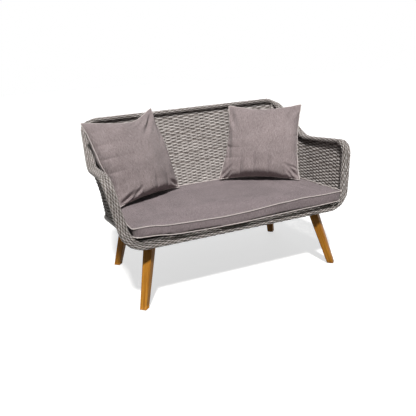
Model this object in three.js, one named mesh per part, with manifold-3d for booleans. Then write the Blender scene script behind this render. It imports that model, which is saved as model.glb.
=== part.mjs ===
// A two-seat garden sofa: a woven tub on a bent tube frame, four splayed wooden legs,
// a seat cushion and two scatter cushions. Millimetres, +Z up, the seat opens towards -Y,
// and the origin lies on the floor under the middle of the sofa.
import * as THREE from 'three';
import { mergeVertices } from 'three/addons/utils/BufferGeometryUtils.js';
import Module from 'manifold-3d';

const wasm = await Module();
wasm.setup();

// Fits shared by all pieces
const fit = 0.3;
const bendClearance = 1.2;
const overrun = 3;

// Rim of the tub: where its bends would meet as sharp corners, on the right-hand side.
// The arm fronts are its widest place, and the other corners lie inside them.
const armFrontHalfWidth = 620;
const armFrontReach = 285;
const armFrontHeight = 632;
const seatFrontInset = 55;
const seatFrontHalfWidth = armFrontHalfWidth - seatFrontInset;
const seatFrontReach = 325;
const seatFrontHeight = 322;
const armBendInset = 13;
const armBendHalfWidth = armFrontHalfWidth - armBendInset;
const armBendReach = 88;
const armBendHeight = 606;
const backTopInset = 53;
const backTopHalfWidth = armFrontHalfWidth - backTopInset;
const backTopReach = 360;
const backTopHeight = 803;

// Bend radii of the rim
const seatFrontBend = 95;
const armFrontBend = 65;
const armHollowBend = 140;
const backTopBend = 75;

// Rim section: two tubes side by side under one figure-eight wrap
const rimTubeRadius = 8;
const rimTubeWall = 1.5;
const rimTubeSpacing = 24;
const wrapRadius = 11;
const wrapWaist = 14;
const wrapSkin = 1.5;
const wrapJointShare = 0.5;
const wrapSlopeJointShare = 0.3;
const tubeJointShare = 0.6;

// Seat frame
const seatTubeRadius = 12.5;
const seatTubeWall = 1.5;
const seatTubeHeight = 318;
const seatTubeInset = 65;
const seatTubeFrontHalfWidth = seatFrontHalfWidth - seatTubeInset;
const tubCornerInset = 15;
const tubCornerHalfWidth = backTopHalfWidth - tubCornerInset;
const tubCornerReach = 255;
const tubCornerBend = 75;
const backLean = (backTopReach - tubCornerReach) / (backTopHeight - seatTubeHeight);
const crossBarShare = 0.37;
const crossBarHalfSpacing = crossBarShare * seatTubeFrontHalfWidth;
const postRadius = 10;
const postWall = 1.5;
const postClearance = 2.8;
const stayRadius = 4;
const stayShare = 0.38;
const stayHalfSpacing = stayShare * seatTubeFrontHalfWidth;

// Woven sheets: how thick they are, how far a strand rises over a stake and the size of one float
const weaveThickness = 6;
const weaveRelief = 2.2;
const floatWidth = 52;
const floatHeight = 28;
const deckFloat = 66;
const rimTuck = 9.4;
const footClearance = 8;
const rearFootClearance = 1.8;
const footAngleFront = 40;
const footTuckPower = 4;
const wallEdgeFront = 36;
const wallEdgeRear = 22;
const wallRiseFront = 62;
const wallRiseRear = 16;
const footRows = 3;

// What carries the legs
const legRailInset = 63;
const legRailHalfSpacing = seatTubeFrontHalfWidth - legRailInset;
const legRailWidth = 40;
const legRailHeight = 18;
const legRailWall = 1.5;
const legPlateSide = 62;
const legPlateThickness = 4;
const boltRadius = 4;
const boltDepth = 34;
const nutAcross = 13;
const nutHeight = 6.5;

// Legs: a square section set corner first, thinner towards the foot
const legTopSide = 46;
const legFootSide = 34;
const legEdgeRound = 6;
const footRound = 6;
const frontFootOutset = 79;
const frontFootHalfSpacing = legRailHalfSpacing + frontFootOutset;
const frontFootSetBack = 31;
const frontFootReach = seatFrontReach - frontFootSetBack;
const frontLegSplayShare = 0.25;
const frontLegRakeShare = 0.2;
const rearFootOutset = 53;
const rearFootHalfSpacing = legRailHalfSpacing + rearFootOutset;
const rearFootSetBack = 45;
const rearFootReach = tubCornerReach + rearFootSetBack;
const rearLegSplayShare = 0.21;
const rearLegRakeShare = 0.25;
const glideRadius = 11;
const glideHeight = 3;

// Seat cushion
const seatCushionOverhang = 32;
const seatCushionHalfWidth = seatTubeFrontHalfWidth + seatCushionOverhang;
const seatCushionFrontOverhang = 13;
const seatCushionFrontReach = seatFrontReach + seatCushionFrontOverhang;
const seatCushionBottom = 352;
const seatCushionTop = 404;
const seatCushionWallGap = 4.4;
const backWallReach = tubCornerReach + backLean * (seatCushionBottom - seatTubeHeight);
const seatCushionBackReach = backWallReach - seatCushionWallGap;
const seatCushionCrown = 9;
const seatCushionWaist = 4;
const seatCushionSideTaper = 8;
const seatCushionEndTaper = 4;
const seatCushionFrontCorner = 34;
const seatCushionCornerTuck = 84;
const seatCushionRearCorner = 78;
const seatCushionBackTaper = 16;

// Scatter cushions, and how far they keep from the back rail
const scatterSide = 430;
const scatterThickness = 132;
const scatterEdgeHollow = 17;
const scatterEarReach = 9;
const scatterRailGap = 18;
const scatterArmGap = 12;
const scatterLeftShift = 10;
const pipingRadius = 3;

// Each scatter cushion leans in a rear corner: its side of the sofa, its gap to the arm,
// and its turn, lean and roll in degrees
const scatterPlans = [
  { name: 'right', side: 1, armGap: scatterArmGap, turn: 36, lean: 26, roll: 2 },
  { name: 'left', side: -1, armGap: scatterArmGap + scatterLeftShift, turn: 26, lean: 22.5, roll: 2.5 },
];

// How a cushion swells between its seams, as powers of the share of the way across
const swellSquareness = 2.2;
const swellSoftness = 0.55;
const hollowSoftness = 0.8;
const crownShares = [0.08, 0.25, 0.55];
const scatterRingShares = [0.97, 0.88, 0.72, 0.5, 0.25];

// How finely round stretches are faceted
const bendSteps = 4;
const cornerSteps = 6;
const hollowSteps = 3;
const tubeSides = 8;
const rimTubeSides = 6;
const lobeSides = 6;
const pipingSides = 5;
const roundSides = 24;
const cushionCornerSteps = 5;
const cushionEdgeSteps = 9;
const scatterEdgeSteps = 10;

// Finishes
const finish = (color, roughness, metalness) =>
  new THREE.MeshStandardMaterial({ color, roughness, metalness });
const wickerFinish = finish('#a39b99', 0.75, 0);
const deckFinish = finish('#8e8684', 0.8, 0);
const frameFinish = finish('#5b5652', 0.45, 0.6);
const woodFinish = finish('#b4712f', 0.6, 0);
const fabricFinish = finish('#8d7f7e', 0.95, 0);
const pipingFinish = finish('#c9bfbc', 0.9, 0);
const zincFinish = finish('#b9babc', 0.35, 0.9);
const glideFinish = finish('#2b2a29', 0.6, 0);

const sofa = new THREE.Group();

const point = (x, y, z) => new THREE.Vector3(x, y, z);
const mix = (a, b, share) => a + (b - a) * share;
const mixPoints = (a, b, share) => a.clone().lerp(b, share);
const stepAlong = (from, direction, length) => from.clone().addScaledVector(direction, length);
const mirrored = (p) => point(-p.x, p.y, p.z);
const towardsFront = point(0, -1, 0);
const upwards = point(0, 0, 1);
const sideways = point(1, 0, 0);

// Turns a list of corners and triangles into one closed mesh geometry that faces outwards
function closedGeometry(vertices, triangles) {
  const geometry = new THREE.BufferGeometry().setFromPoints(vertices);
  const facesIn = signedVolume(vertices, triangles) < 0;
  geometry.setIndex(triangles.flatMap(([a, b, c]) => (facesIn ? [a, c, b] : [a, b, c])));
  geometry.computeVertexNormals();
  return geometry;
}

function signedVolume(vertices, triangles) {
  const cross = new THREE.Vector3();
  return triangles.reduce(
    (sum, [a, b, c]) => sum + vertices[a].dot(cross.crossVectors(vertices[b], vertices[c])),
    0,
  );
}

function addPiece(name, geometry, material) {
  const mesh = new THREE.Mesh(geometry, material);
  mesh.name = name;
  sofa.add(mesh);
  return mesh;
}

// A piece and its mirror image across the middle of the sofa
function addPair(name, geometry, material) {
  addPiece(`${name}_right`, geometry, material);
  addPiece(`${name}_left`, mirroredGeometry(geometry), material);
}

function mirroredGeometry(geometry) {
  const copy = geometry.clone().scale(-1, 1, 1);
  const index = Array.from(copy.getIndex().array);
  for (let i = 0; i < index.length; i += 3) {
    [index[i + 1], index[i + 2]] = [index[i + 2], index[i + 1]];
  }
  copy.setIndex(index);
  copy.computeVertexNormals();
  return copy;
}

// Skin over a row of rings that all have the same number of corners, closed with flat or fanned ends
function loft(rings) {
  const vertices = rings.flat();
  const count = rings[0].length;
  const triangles = [];
  for (let r = 0; r < rings.length - 1; r += 1) {
    pushBand(triangles, r * count, (r + 1) * count, count);
  }
  pushFan(triangles, vertices, rings[0], 0, false);
  pushFan(triangles, vertices, rings.at(-1), (rings.length - 1) * count, true);
  return closedGeometry(vertices, triangles);
}

// Skin over rings with a bore through them, joined at both ends
function loftBored(outerRings, innerRings) {
  const count = outerRings[0].length;
  const vertices = [...outerRings.flat(), ...innerRings.flat()];
  const innerStart = outerRings.length * count;
  const last = (outerRings.length - 1) * count;
  const triangles = [];
  for (let r = 0; r < outerRings.length - 1; r += 1) {
    pushBand(triangles, r * count, (r + 1) * count, count);
    pushBand(triangles, innerStart + (r + 1) * count, innerStart + r * count, count);
  }
  pushBand(triangles, innerStart, 0, count);
  pushBand(triangles, last, innerStart + last, count);
  return closedGeometry(vertices, triangles);
}

function pushBand(triangles, from, to, count) {
  for (let i = 0; i < count; i += 1) {
    const j = (i + 1) % count;
    triangles.push([from + i, from + j, to + j], [from + i, to + j, to + i]);
  }
}

function pushFan(triangles, vertices, ring, start, forwards) {
  const middle = vertices.length;
  const centre = ring.reduce((sum, p) => sum.add(p), point(0, 0, 0)).divideScalar(ring.length);
  vertices.push(centre);
  for (let i = 0; i < ring.length; i += 1) {
    const j = (i + 1) % ring.length;
    triangles.push(forwards ? [start + i, start + j, middle] : [start + j, start + i, middle]);
  }
}

// A thin sheet of even thickness around a grid of points, closed along its four edges
function sheet(grid, thickness) {
  const rows = grid.length;
  const columns = grid[0].length;
  const faces = [1, -1].map((side) =>
    grid.flatMap((line, r) =>
      line.map((p, c) => stepAlong(p, gridNormal(grid, r, c), (side * thickness) / 2)),
    ),
  );
  const at = (side, r, c) => side * rows * columns + r * columns + c;
  const triangles = [];
  for (let r = 0; r < rows - 1; r += 1) {
    for (let c = 0; c < columns - 1; c += 1) {
      triangles.push([at(0, r, c), at(0, r, c + 1), at(0, r + 1, c + 1)]);
      triangles.push([at(0, r, c), at(0, r + 1, c + 1), at(0, r + 1, c)]);
      triangles.push([at(1, r, c), at(1, r + 1, c + 1), at(1, r, c + 1)]);
      triangles.push([at(1, r, c), at(1, r + 1, c), at(1, r + 1, c + 1)]);
    }
  }
  const border = sheetBorder(rows, columns);
  border.forEach(([r, c], i) => {
    const [nextRow, nextColumn] = border[(i + 1) % border.length];
    triangles.push([at(0, r, c), at(1, nextRow, nextColumn), at(0, nextRow, nextColumn)]);
    triangles.push([at(0, r, c), at(1, r, c), at(1, nextRow, nextColumn)]);
  });
  return closedGeometry(faces.flat(), triangles);
}

function sheetBorder(rows, columns) {
  const border = [];
  for (let c = 0; c < columns - 1; c += 1) border.push([0, c]);
  for (let r = 0; r < rows - 1; r += 1) border.push([r, columns - 1]);
  for (let c = columns - 1; c > 0; c -= 1) border.push([rows - 1, c]);
  for (let r = rows - 1; r > 0; r -= 1) border.push([r, 0]);
  return border;
}

function gridNormal(grid, r, c) {
  const above = grid[Math.min(r + 1, grid.length - 1)][c];
  const below = grid[Math.max(r - 1, 0)][c];
  const right = grid[r][Math.min(c + 1, grid[r].length - 1)];
  const left = grid[r][Math.max(c - 1, 0)];
  return right.clone().sub(left).cross(above.clone().sub(below)).normalize();
}

// Lifts every other crossing of a grid and sinks the ones between, as strands pass over and under
function woven(grid) {
  const lastRow = grid.length - 1;
  return grid.map((line, r) =>
    line.map((p, c) => {
      const onEdge = r === 0 || r === lastRow || c === 0 || c === line.length - 1;
      const rise = onEdge ? 0 : weaveRelief * ((r + c) % 2 ? 1 : -1);
      return stepAlong(p, gridNormal(grid, r, c), rise);
    }),
  );
}

// A bent path: straight runs joined by round bends. Every sample carries its tangent, the
// direction across the flat of the section and the direction square to both.
function bentPath(corners) {
  const count = corners.length;
  const runs = corners.map((corner, i) => {
    const previous = corners[(i + count - 1) % count];
    const along = corner.at.clone().sub(previous.at).normalize();
    const across = along.clone().cross(corner.wallUp).normalize();
    return { along, across };
  });
  const bends = corners.map((corner, i) => bend(corner, runs[i], runs[(i + 1) % count]));
  return bends.map((samples, i) => ({
    samples,
    runIn: [bends[(i + count - 1) % count].at(-1), samples[0]],
  }));
}

function bend(corner, before, after) {
  const angle = before.along.angleTo(after.along);
  const tangentLength = corner.radius * Math.tan(angle / 2);
  const inwards = after.along.clone().addScaledVector(before.along, -Math.cos(angle)).normalize();
  const start = stepAlong(corner.at, before.along, -tangentLength);
  const centre = stepAlong(start, inwards, corner.radius);
  const samples = [];
  for (let i = 0; i <= corner.steps; i += 1) {
    const turn = (angle * i) / corner.steps;
    const at = stepAlong(centre, inwards, -corner.radius * Math.cos(turn));
    at.addScaledVector(before.along, corner.radius * Math.sin(turn));
    const along = before.along.clone().multiplyScalar(Math.cos(turn));
    along.addScaledVector(inwards, Math.sin(turn));
    samples.push(frameSample(at, along, mixPoints(before.across, after.across, i / corner.steps)));
  }
  return samples;
}

function frameSample(at, along, roughAcross) {
  const across = roughAcross.clone().addScaledVector(along, -roughAcross.dot(along)).normalize();
  return { at, along, across, out: across.clone().cross(along).normalize() };
}

function sampleBetween(a, b, share) {
  return frameSample(mixPoints(a.at, b.at, share), a.along, mixPoints(a.across, b.across, share));
}

// The samples from one place on a straight run to another, with half a fit left free at both ends
function pathPart(path, from, to) {
  const samples = [placeOnRun(path, from, fit / 2)];
  let bendIndex = from.run;
  while (bendIndex !== to.run) {
    samples.push(...path[bendIndex].samples);
    bendIndex = (bendIndex + 1) % path.length;
  }
  samples.push(placeOnRun(path, to, -fit / 2));
  return samples;
}

function placeOnRun(path, place, shift) {
  const [start, end] = path[place.run].runIn;
  return sampleBetween(start, end, place.share + shift / start.at.distanceTo(end.at));
}

const placeSection = (sample, outline) =>
  outline.map(([a, b]) => stepAlong(stepAlong(sample.at, sample.across, a), sample.out, b));

const circleOutline = (radius, sides, middle = 0) =>
  Array.from({ length: sides }, (_, i) => {
    const turn = (2 * Math.PI * i) / sides;
    return [middle + radius * Math.cos(turn), radius * Math.sin(turn)];
  });

// Two round lobes joined by a waist, as a wrap drawn tight round two tubes
function figureEightOutline(radius, waist) {
  const lobeTurn = Math.PI - Math.asin(waist / 2 / radius);
  const lobe = (side) =>
    Array.from({ length: lobeSides + 1 }, (_, i) => {
      const turn = mix(-lobeTurn, lobeTurn, i / lobeSides);
      return [side * (rimTubeSpacing / 2 + radius * Math.cos(turn)), side * radius * Math.sin(turn)];
    });
  return [...lobe(1), ...lobe(-1)];
}

// Rim of the tub
function rimCorners() {
  const seatFront = point(seatFrontHalfWidth, -seatFrontReach, seatFrontHeight);
  const armFront = point(armFrontHalfWidth, -armFrontReach, armFrontHeight);
  const armBend = point(armBendHalfWidth, armBendReach, armBendHeight);
  const backTop = point(backTopHalfWidth, backTopReach, backTopHeight);
  const tubCorner = point(tubCornerHalfWidth, tubCornerReach, seatTubeHeight);
  const armUp = armFront.clone().sub(seatFront).normalize();
  const slopeUp = backTop.clone().sub(tubCorner).normalize();
  const backUp = point(0, slopeUp.y, slopeUp.z).normalize();
  return [
    { at: seatFront, radius: seatFrontBend, steps: bendSteps, wallUp: towardsFront },
    { at: armFront, radius: armFrontBend, steps: bendSteps, wallUp: towardsFront },
    { at: armBend, radius: armHollowBend, steps: hollowSteps, wallUp: armUp },
    { at: backTop, radius: backTopBend, steps: cornerSteps, wallUp: slopeUp },
    { at: mirrored(backTop), radius: backTopBend, steps: cornerSteps, wallUp: backUp },
    { at: mirrored(armBend), radius: armHollowBend, steps: hollowSteps, wallUp: mirrored(slopeUp) },
    { at: mirrored(armFront), radius: armFrontBend, steps: bendSteps, wallUp: mirrored(armUp) },
    { at: mirrored(seatFront), radius: seatFrontBend, steps: bendSteps, wallUp: towardsFront },
  ];
}

const rimPath = bentPath(rimCorners());
const runNames = 'front uprightRight armRight slopeRight back slopeLeft armLeft uprightLeft'.split(' ');

function rimWrap(from, to) {
  const samples = pathPart(rimPath, from, to);
  const outside = figureEightOutline(wrapRadius, wrapWaist);
  const inside = figureEightOutline(wrapRadius - wrapSkin, wrapWaist - 2 * wrapSkin);
  return loftBored(
    samples.map((sample) => placeSection(sample, outside)),
    samples.map((sample) => placeSection(sample, inside)),
  );
}

function rimTube(from, to, side) {
  const samples = pathPart(rimPath, from, to);
  const middle = (side * rimTubeSpacing) / 2;
  const outside = circleOutline(rimTubeRadius, rimTubeSides, middle);
  const inside = circleOutline(rimTubeRadius - rimTubeWall, rimTubeSides, middle);
  return loftBored(
    samples.map((sample) => placeSection(sample, outside)),
    samples.map((sample) => placeSection(sample, inside)),
  );
}

function addRim() {
  const placeOn = (name, share) => ({ run: runNames.indexOf(name), share });
  const rightUpright = placeOn('uprightRight', wrapJointShare);
  const leftUpright = placeOn('uprightLeft', 1 - wrapJointShare);
  const rightSlope = placeOn('slopeRight', wrapSlopeJointShare);
  const leftSlope = placeOn('slopeLeft', 1 - wrapSlopeJointShare);
  const rightWeld = placeOn('slopeRight', tubeJointShare);
  const leftWeld = placeOn('slopeLeft', 1 - tubeJointShare);
  addPiece('front_rail_wrap', rimWrap(leftUpright, rightUpright), wickerFinish);
  addPiece('arm_rim_wrap_right', rimWrap(rightUpright, rightSlope), wickerFinish);
  addPiece('back_rail_wrap', rimWrap(rightSlope, leftSlope), wickerFinish);
  addPiece('arm_rim_wrap_left', rimWrap(leftSlope, leftUpright), wickerFinish);
  addPiece('rim_outer_tube_front', rimTube(leftWeld, rightWeld, 1), frameFinish);
  addPiece('rim_outer_tube_back', rimTube(rightWeld, leftWeld, 1), frameFinish);
  addPiece('rim_inner_tube_front', rimTube(leftWeld, rightWeld, -1), frameFinish);
  addPiece('rim_inner_tube_back', rimTube(rightWeld, leftWeld, -1), frameFinish);
}

// Seat frame: a tube bent round the sides and back, and a straight one behind the front rail
const frontTubeReach = seatFrontReach - wrapRadius - fit - seatTubeRadius;

function seatTubePath() {
  const front = point(seatTubeFrontHalfWidth, -seatFrontReach, seatTubeHeight);
  const corner = point(tubCornerHalfWidth, tubCornerReach, seatTubeHeight);
  return bentPath([
    { at: front, radius: 0, steps: 1, wallUp: upwards },
    { at: corner, radius: tubCornerBend, steps: cornerSteps, wallUp: upwards },
    { at: mirrored(corner), radius: tubCornerBend, steps: cornerSteps, wallUp: upwards },
    { at: mirrored(front), radius: 0, steps: 1, wallUp: upwards },
  ]);
}

const seatPath = seatTubePath();

function hollowTube(samples, radius, wall) {
  return loftBored(
    samples.map((sample) => placeSection(sample, circleOutline(radius, tubeSides))),
    samples.map((sample) => placeSection(sample, circleOutline(radius - wall, tubeSides))),
  );
}

function straightTube(from, to, radius, wall) {
  const along = to.clone().sub(from).normalize();
  const across = Math.abs(along.z) > Math.abs(along.x) ? sideways : upwards;
  return hollowTube([frameSample(from, along, across), frameSample(to, along, across)], radius, wall);
}

// The place where a straight run crosses a given depth
function sampleAtDepth([start, end], depth) {
  return sampleBetween(start, end, (depth - start.at.y) / (end.at.y - start.at.y));
}

// The bent tube's two ends stop against the front tube
function addSeatFrame() {
  const endDepth = -frontTubeReach + seatTubeRadius + fit;
  const samples = [
    sampleAtDepth(seatPath[1].runIn, endDepth),
    ...seatPath[1].samples,
    ...seatPath[2].samples,
    sampleAtDepth(seatPath[3].runIn, endDepth),
  ];
  addPiece('seat_frame_tube', hollowTube(samples, seatTubeRadius, seatTubeWall), frameFinish);

  const frontHalf = seatTubeFrontHalfWidth + seatTubeRadius / 2;
  const frontEnd = point(frontHalf, -frontTubeReach, seatTubeHeight);
  const frontTube = straightTube(mirrored(frontEnd), frontEnd, seatTubeRadius, seatTubeWall);
  addPiece('front_seat_tube', frontTube, frameFinish);

  const barFront = point(crossBarHalfSpacing, endDepth, seatTubeHeight);
  const barRear = point(crossBarHalfSpacing, tubCornerReach - seatTubeRadius - fit, seatTubeHeight);
  addPair('seat_cross_bar', straightTube(barFront, barRear, seatTubeRadius, seatTubeWall), frameFinish);
}

// Tub wall: stations run from the front of an arm, along the rim, to the middle of the back.
// Each has its place under the rim and its foot on the seat tube.
function wallStations() {
  const [armFrontPart, armBendPart, cornerPart] = [rimPath[1], rimPath[2], rimPath[3]];
  const top = [
    ...armFrontPart.samples,
    ...divideRun(armFrontPart.samples.at(-1), armBendPart.samples[0], floatWidth),
    ...armBendPart.samples,
    ...divideRun(armBendPart.samples.at(-1), cornerPart.samples[0], floatWidth),
  ].map(underRim);
  const firstY = top[0].y;
  const lastY = underRim(cornerPart.samples[0]).y;
  const firstFoot = sampleAtDepth(seatPath[1].runIn, -seatFrontReach + wrapRadius + footClearance);
  const lastFoot = seatPath[1].samples[0];
  const arm = top.map((p) => {
    const share = (p.y - firstY) / (lastY - firstY);
    return station(p, sampleBetween(firstFoot, lastFoot, share), share);
  });
  const cornerFeet = seatPath[1].samples;
  const corner = cornerPart.samples.map((sample, i) => station(underRim(sample), cornerFeet[i], 1));
  const backTop = cornerPart.samples.at(-1);
  const backFoot = seatPath[1].samples.at(-1);
  const middleTop = sampleBetween(backTop, rimPath[4].samples[0], 1 / 2);
  const middleFoot = sampleBetween(backFoot, seatPath[2].samples[0], 1 / 2);
  const divisions = divisionsOf(backTop, middleTop, floatWidth);
  const back = Array.from({ length: divisions }, (_, i) => {
    const share = (i + 1) / divisions;
    const foot = sampleBetween(backFoot, middleFoot, share);
    return station(underRim(sampleBetween(backTop, middleTop, share)), foot, 1);
  });
  return { arm, corner, back };
}

const underRim = (sample) => stepAlong(sample.at, sample.out, -rimTuck);
const divisionsOf = (a, b, pitch) => Math.max(1, Math.round(a.at.distanceTo(b.at) / pitch));

function divideRun(a, b, pitch) {
  const divisions = divisionsOf(a, b, pitch);
  return Array.from({ length: divisions - 1 }, (_, i) => sampleBetween(a, b, (i + 1) / divisions));
}

function station(top, footSample, share) {
  const edgeOut = mix(seatFrontHalfWidth - seatTubeFrontHalfWidth, 0, share);
  const edgeUp = mix(seatFrontHeight - seatTubeHeight, 0, share);
  const edge = stepAlong(stepAlong(footSample.at, footSample.across, edgeOut), upwards, edgeUp);
  const footAngle = THREE.MathUtils.degToRad(footAngleFront);
  const leaning = footSample.across.clone().multiplyScalar(Math.cos(footAngle));
  leaning.addScaledVector(upwards, Math.sin(footAngle));
  const standing = top.clone().sub(edge).normalize();
  const clearance = seatTubeRadius + mix(footClearance, rearFootClearance, share ** footTuckPower);
  const foot = stepAlong(footSample.at, mixPoints(leaning, standing, share).normalize(), clearance);
  return { top, edge, foot, share };
}

// One upright line of the wall: a rounded foot and a straight rise to the rim
function wallColumn({ top, edge, foot, share }, riseRows) {
  const up = top.clone().sub(edge).normalize();
  const turnPoint = stepAlong(edge, up, mix(wallEdgeFront, wallEdgeRear, share));
  const riseStart = stepAlong(turnPoint, up, mix(wallRiseFront, wallRiseRear, share));
  const footCurve = new THREE.QuadraticBezierCurve3(foot, turnPoint, riseStart);
  const line = footCurve.getPoints(footRows);
  for (let i = 1; i <= riseRows; i += 1) {
    line.push(mixPoints(riseStart, top, i / riseRows));
  }
  return line;
}

const wall = wallStations();
const midCorner = cornerSteps / 2;

// The station beside a corner post, just clear of it at the foot and at the top
function besidePost(neighbour) {
  const middle = wall.corner[midCorner];
  const axis = new THREE.Line3(middle.foot, middle.top);
  const shareFor = (p) => {
    const nearest = axis.closestPointToPoint(p, false, new THREE.Vector3());
    return (postRadius + postClearance) / p.distanceTo(nearest);
  };
  return {
    top: mixPoints(middle.top, neighbour.top, shareFor(neighbour.top)),
    edge: mixPoints(middle.edge, neighbour.edge, shareFor(neighbour.foot)),
    foot: mixPoints(middle.foot, neighbour.foot, shareFor(neighbour.foot)),
    share: middle.share,
  };
}

const wallSheet = (stations, topHeight) => {
  const rise = topHeight - seatTubeHeight;
  const riseRows = Math.round(rise / floatHeight) - footRows;
  return sheet(woven(stations.map((one) => wallColumn(one, riseRows))), weaveThickness);
};

function addWall() {
  const beforePost = wall.corner.slice(0, midCorner);
  const afterPost = wall.corner.slice(midCorner + 1);
  const armStations = [...wall.arm, ...beforePost, besidePost(beforePost.at(-1))];
  addPair('arm_panel', wallSheet(armStations, (armFrontHeight + backTopHeight) / 2), wickerFinish);
  const halfBack = [besidePost(afterPost[0]), ...afterPost, ...wall.back];
  const otherHalf = halfBack.slice(0, -1).reverse().map(mirroredStation);
  addPiece('back_panel', wallSheet([...halfBack, ...otherHalf], backTopHeight), wickerFinish);
}

const mirroredStation = ({ top, edge, foot, share }) => ({
  top: mirrored(top),
  edge: mirrored(edge),
  foot: mirrored(foot),
  share,
});

// A post in each rear corner stands on the bent seat tube and is mitred under the rim
function addCornerPosts() {
  const footSample = seatPath[1].samples[midCorner];
  const rimSample = rimPath[3].samples[midCorner];
  const base = stepAlong(footSample.at, upwards, seatTubeRadius + fit);
  const along = underRim(rimSample).sub(base).normalize();
  const ceiling = stepAlong(rimSample.at, rimSample.out, -wrapRadius - bendClearance);
  const start = frameSample(base, along, sideways);
  const ringAt = (outline) => [
    placeSection(start, outline).map((p) => slideToPlane(p, along, base, upwards)),
    placeSection(start, outline).map((p) => slideToPlane(p, along, ceiling, rimSample.out)),
  ];
  const outer = ringAt(circleOutline(postRadius, tubeSides));
  const inner = ringAt(circleOutline(postRadius - postWall, tubeSides));
  addPair('corner_post', loftBored(outer, inner), frameFinish);
}

function slideToPlane(p, along, onPlane, normal) {
  return stepAlong(p, along, onPlane.clone().sub(p).dot(normal) / along.dot(normal));
}

// Two thin stays behind the back panel, from the seat tube up to the rim
function addBackStays() {
  const setBack = weaveThickness / 2 + weaveRelief + 2 * fit + stayRadius;
  const footInner = setBack - stayRadius;
  const footRise = Math.sqrt(seatTubeRadius ** 2 - footInner ** 2) + 2 * fit;
  const footY = tubCornerReach + setBack + backLean * footRise;
  const foot = point(stayHalfSpacing, footY, seatTubeHeight + footRise);
  const rise = backTopHeight - wrapRadius - bendClearance - stayRadius * backLean - foot.z;
  const top = point(stayHalfSpacing, foot.y + backLean * rise, foot.z + rise);
  addPair('back_stay', straightRod(foot, top, stayRadius), frameFinish);
}

function straightRod(from, to, radius) {
  const along = to.clone().sub(from).normalize();
  const outline = circleOutline(radius, tubeSides);
  return loft([from, to].map((at) => placeSection(frameSample(at, along, sideways), outline)));
}

// Woven seat deck, laced over the tubes of the seat frame
const deckInset = postRadius + 2 * fit;
const deckHeight = seatTubeHeight + seatTubeRadius + fit + weaveRelief + weaveThickness / 2;

function deckHalfWidth(y) {
  const sideLean = (tubCornerHalfWidth - seatTubeFrontHalfWidth) / (tubCornerReach + seatFrontReach);
  const straight = seatTubeFrontHalfWidth + sideLean * (y + seatFrontReach) - deckInset;
  const bendStart = seatPath[1].samples[0].at;
  if (y < bendStart.y) return straight;
  const centreY = tubCornerReach - tubCornerBend;
  const bendRadius = tubCornerBend - deckInset;
  const reach = Math.max(0, y - centreY);
  return bendStart.x - tubCornerBend + Math.sqrt(Math.max(0, bendRadius ** 2 - reach ** 2));
}

function addDeck() {
  const frontY = -seatFrontReach + wrapRadius + fit;
  const rearY = tubCornerReach - deckInset;
  const rows = Math.round((rearY - frontY) / deckFloat);
  const columns = Math.round((2 * seatTubeFrontHalfWidth) / deckFloat);
  const grid = Array.from({ length: rows + 1 }, (_, r) => {
    const y = mix(frontY, rearY, Math.sin((r / rows) * (Math.PI / 2)));
    const halfWidth = deckHalfWidth(y);
    return Array.from({ length: columns + 1 }, (_, c) =>
      point(mix(-halfWidth, halfWidth, c / columns), y, deckHeight),
    );
  });
  addPiece('seat_deck', sheet(woven(grid), weaveThickness), deckFinish);
}

// Joining and cutting of closed solids
function asSolid(geometry) {
  const bare = geometry.clone();
  bare.deleteAttribute('normal');
  bare.deleteAttribute('uv');
  const merged = mergeVertices(bare);
  return new wasm.Manifold(
    new wasm.Mesh({
      numProp: 3,
      vertProperties: new Float32Array(merged.getAttribute('position').array),
      triVerts: new Uint32Array(merged.getIndex().array),
    }),
  );
}

function asGeometry(solid) {
  const mesh = solid.getMesh();
  const geometry = new THREE.BufferGeometry();
  geometry.setAttribute('position', new THREE.BufferAttribute(new Float32Array(mesh.vertProperties), 3));
  geometry.setIndex(Array.from(mesh.triVerts));
  geometry.computeVertexNormals();
  return geometry;
}

const cut = (geometry, ...tools) =>
  asGeometry(tools.reduce((solid, tool) => solid.subtract(asSolid(tool)), asSolid(geometry)));

function uprightCylinder(centre, radius, fromHeight, toHeight, sides = roundSides) {
  const cylinder = new THREE.CylinderGeometry(radius, radius, toHeight - fromHeight, sides);
  cylinder.rotateX(Math.PI / 2);
  return cylinder.translate(centre.x, centre.y, (fromHeight + toHeight) / 2);
}

// Legs and what carries them: a box rail across the seat frame, a plate, a bolt and its nut
const railTop = seatTubeHeight - seatTubeRadius - fit;
const railBottom = railTop - legRailHeight;
const plateBottom = railBottom - fit - legPlateThickness;
const legTop = plateBottom - fit;

const legPlans = [
  {
    name: 'front',
    foot: point(frontFootHalfSpacing, -frontFootReach, 0),
    lean: point(-frontLegSplayShare, frontLegRakeShare, 1),
  },
  {
    name: 'rear',
    foot: point(rearFootHalfSpacing, rearFootReach, 0),
    lean: point(-rearLegSplayShare, -rearLegRakeShare, 1),
  },
];

const legCentreAt = (plan, height) => stepAlong(plan.foot, plan.lean, height);

// A square with softened corners, one corner towards the front
function legRing(plan, height, side) {
  const centre = legCentreAt(plan, height);
  const flat = side / 2;
  const soft = flat - legEdgeRound * (side / legTopSide);
  const outline = [];
  for (let quarter = 0; quarter < 4; quarter += 1) {
    const turn = (quarter * Math.PI) / 2 + Math.PI / 4;
    const [c, s] = [Math.cos(turn), Math.sin(turn)];
    for (const [a, b] of [[flat, -soft], [flat, soft]]) {
      outline.push(point(centre.x + a * c - b * s, centre.y + a * s + b * c, height));
    }
  }
  return outline;
}

function leg(plan) {
  const foot = glideHeight + fit;
  const footSide = legFootSide - footRound;
  const blank = loft([
    legRing(plan, foot, footSide),
    legRing(plan, foot + footRound / 2, legFootSide - footRound / 2),
    legRing(plan, foot + 2 * footRound, legFootSide),
    legRing(plan, legTop, legTopSide),
  ]);
  const top = legCentreAt(plan, legTop);
  return cut(blank, uprightCylinder(top, boltRadius + fit, legTop - boltDepth - fit, legTop + overrun));
}

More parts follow.
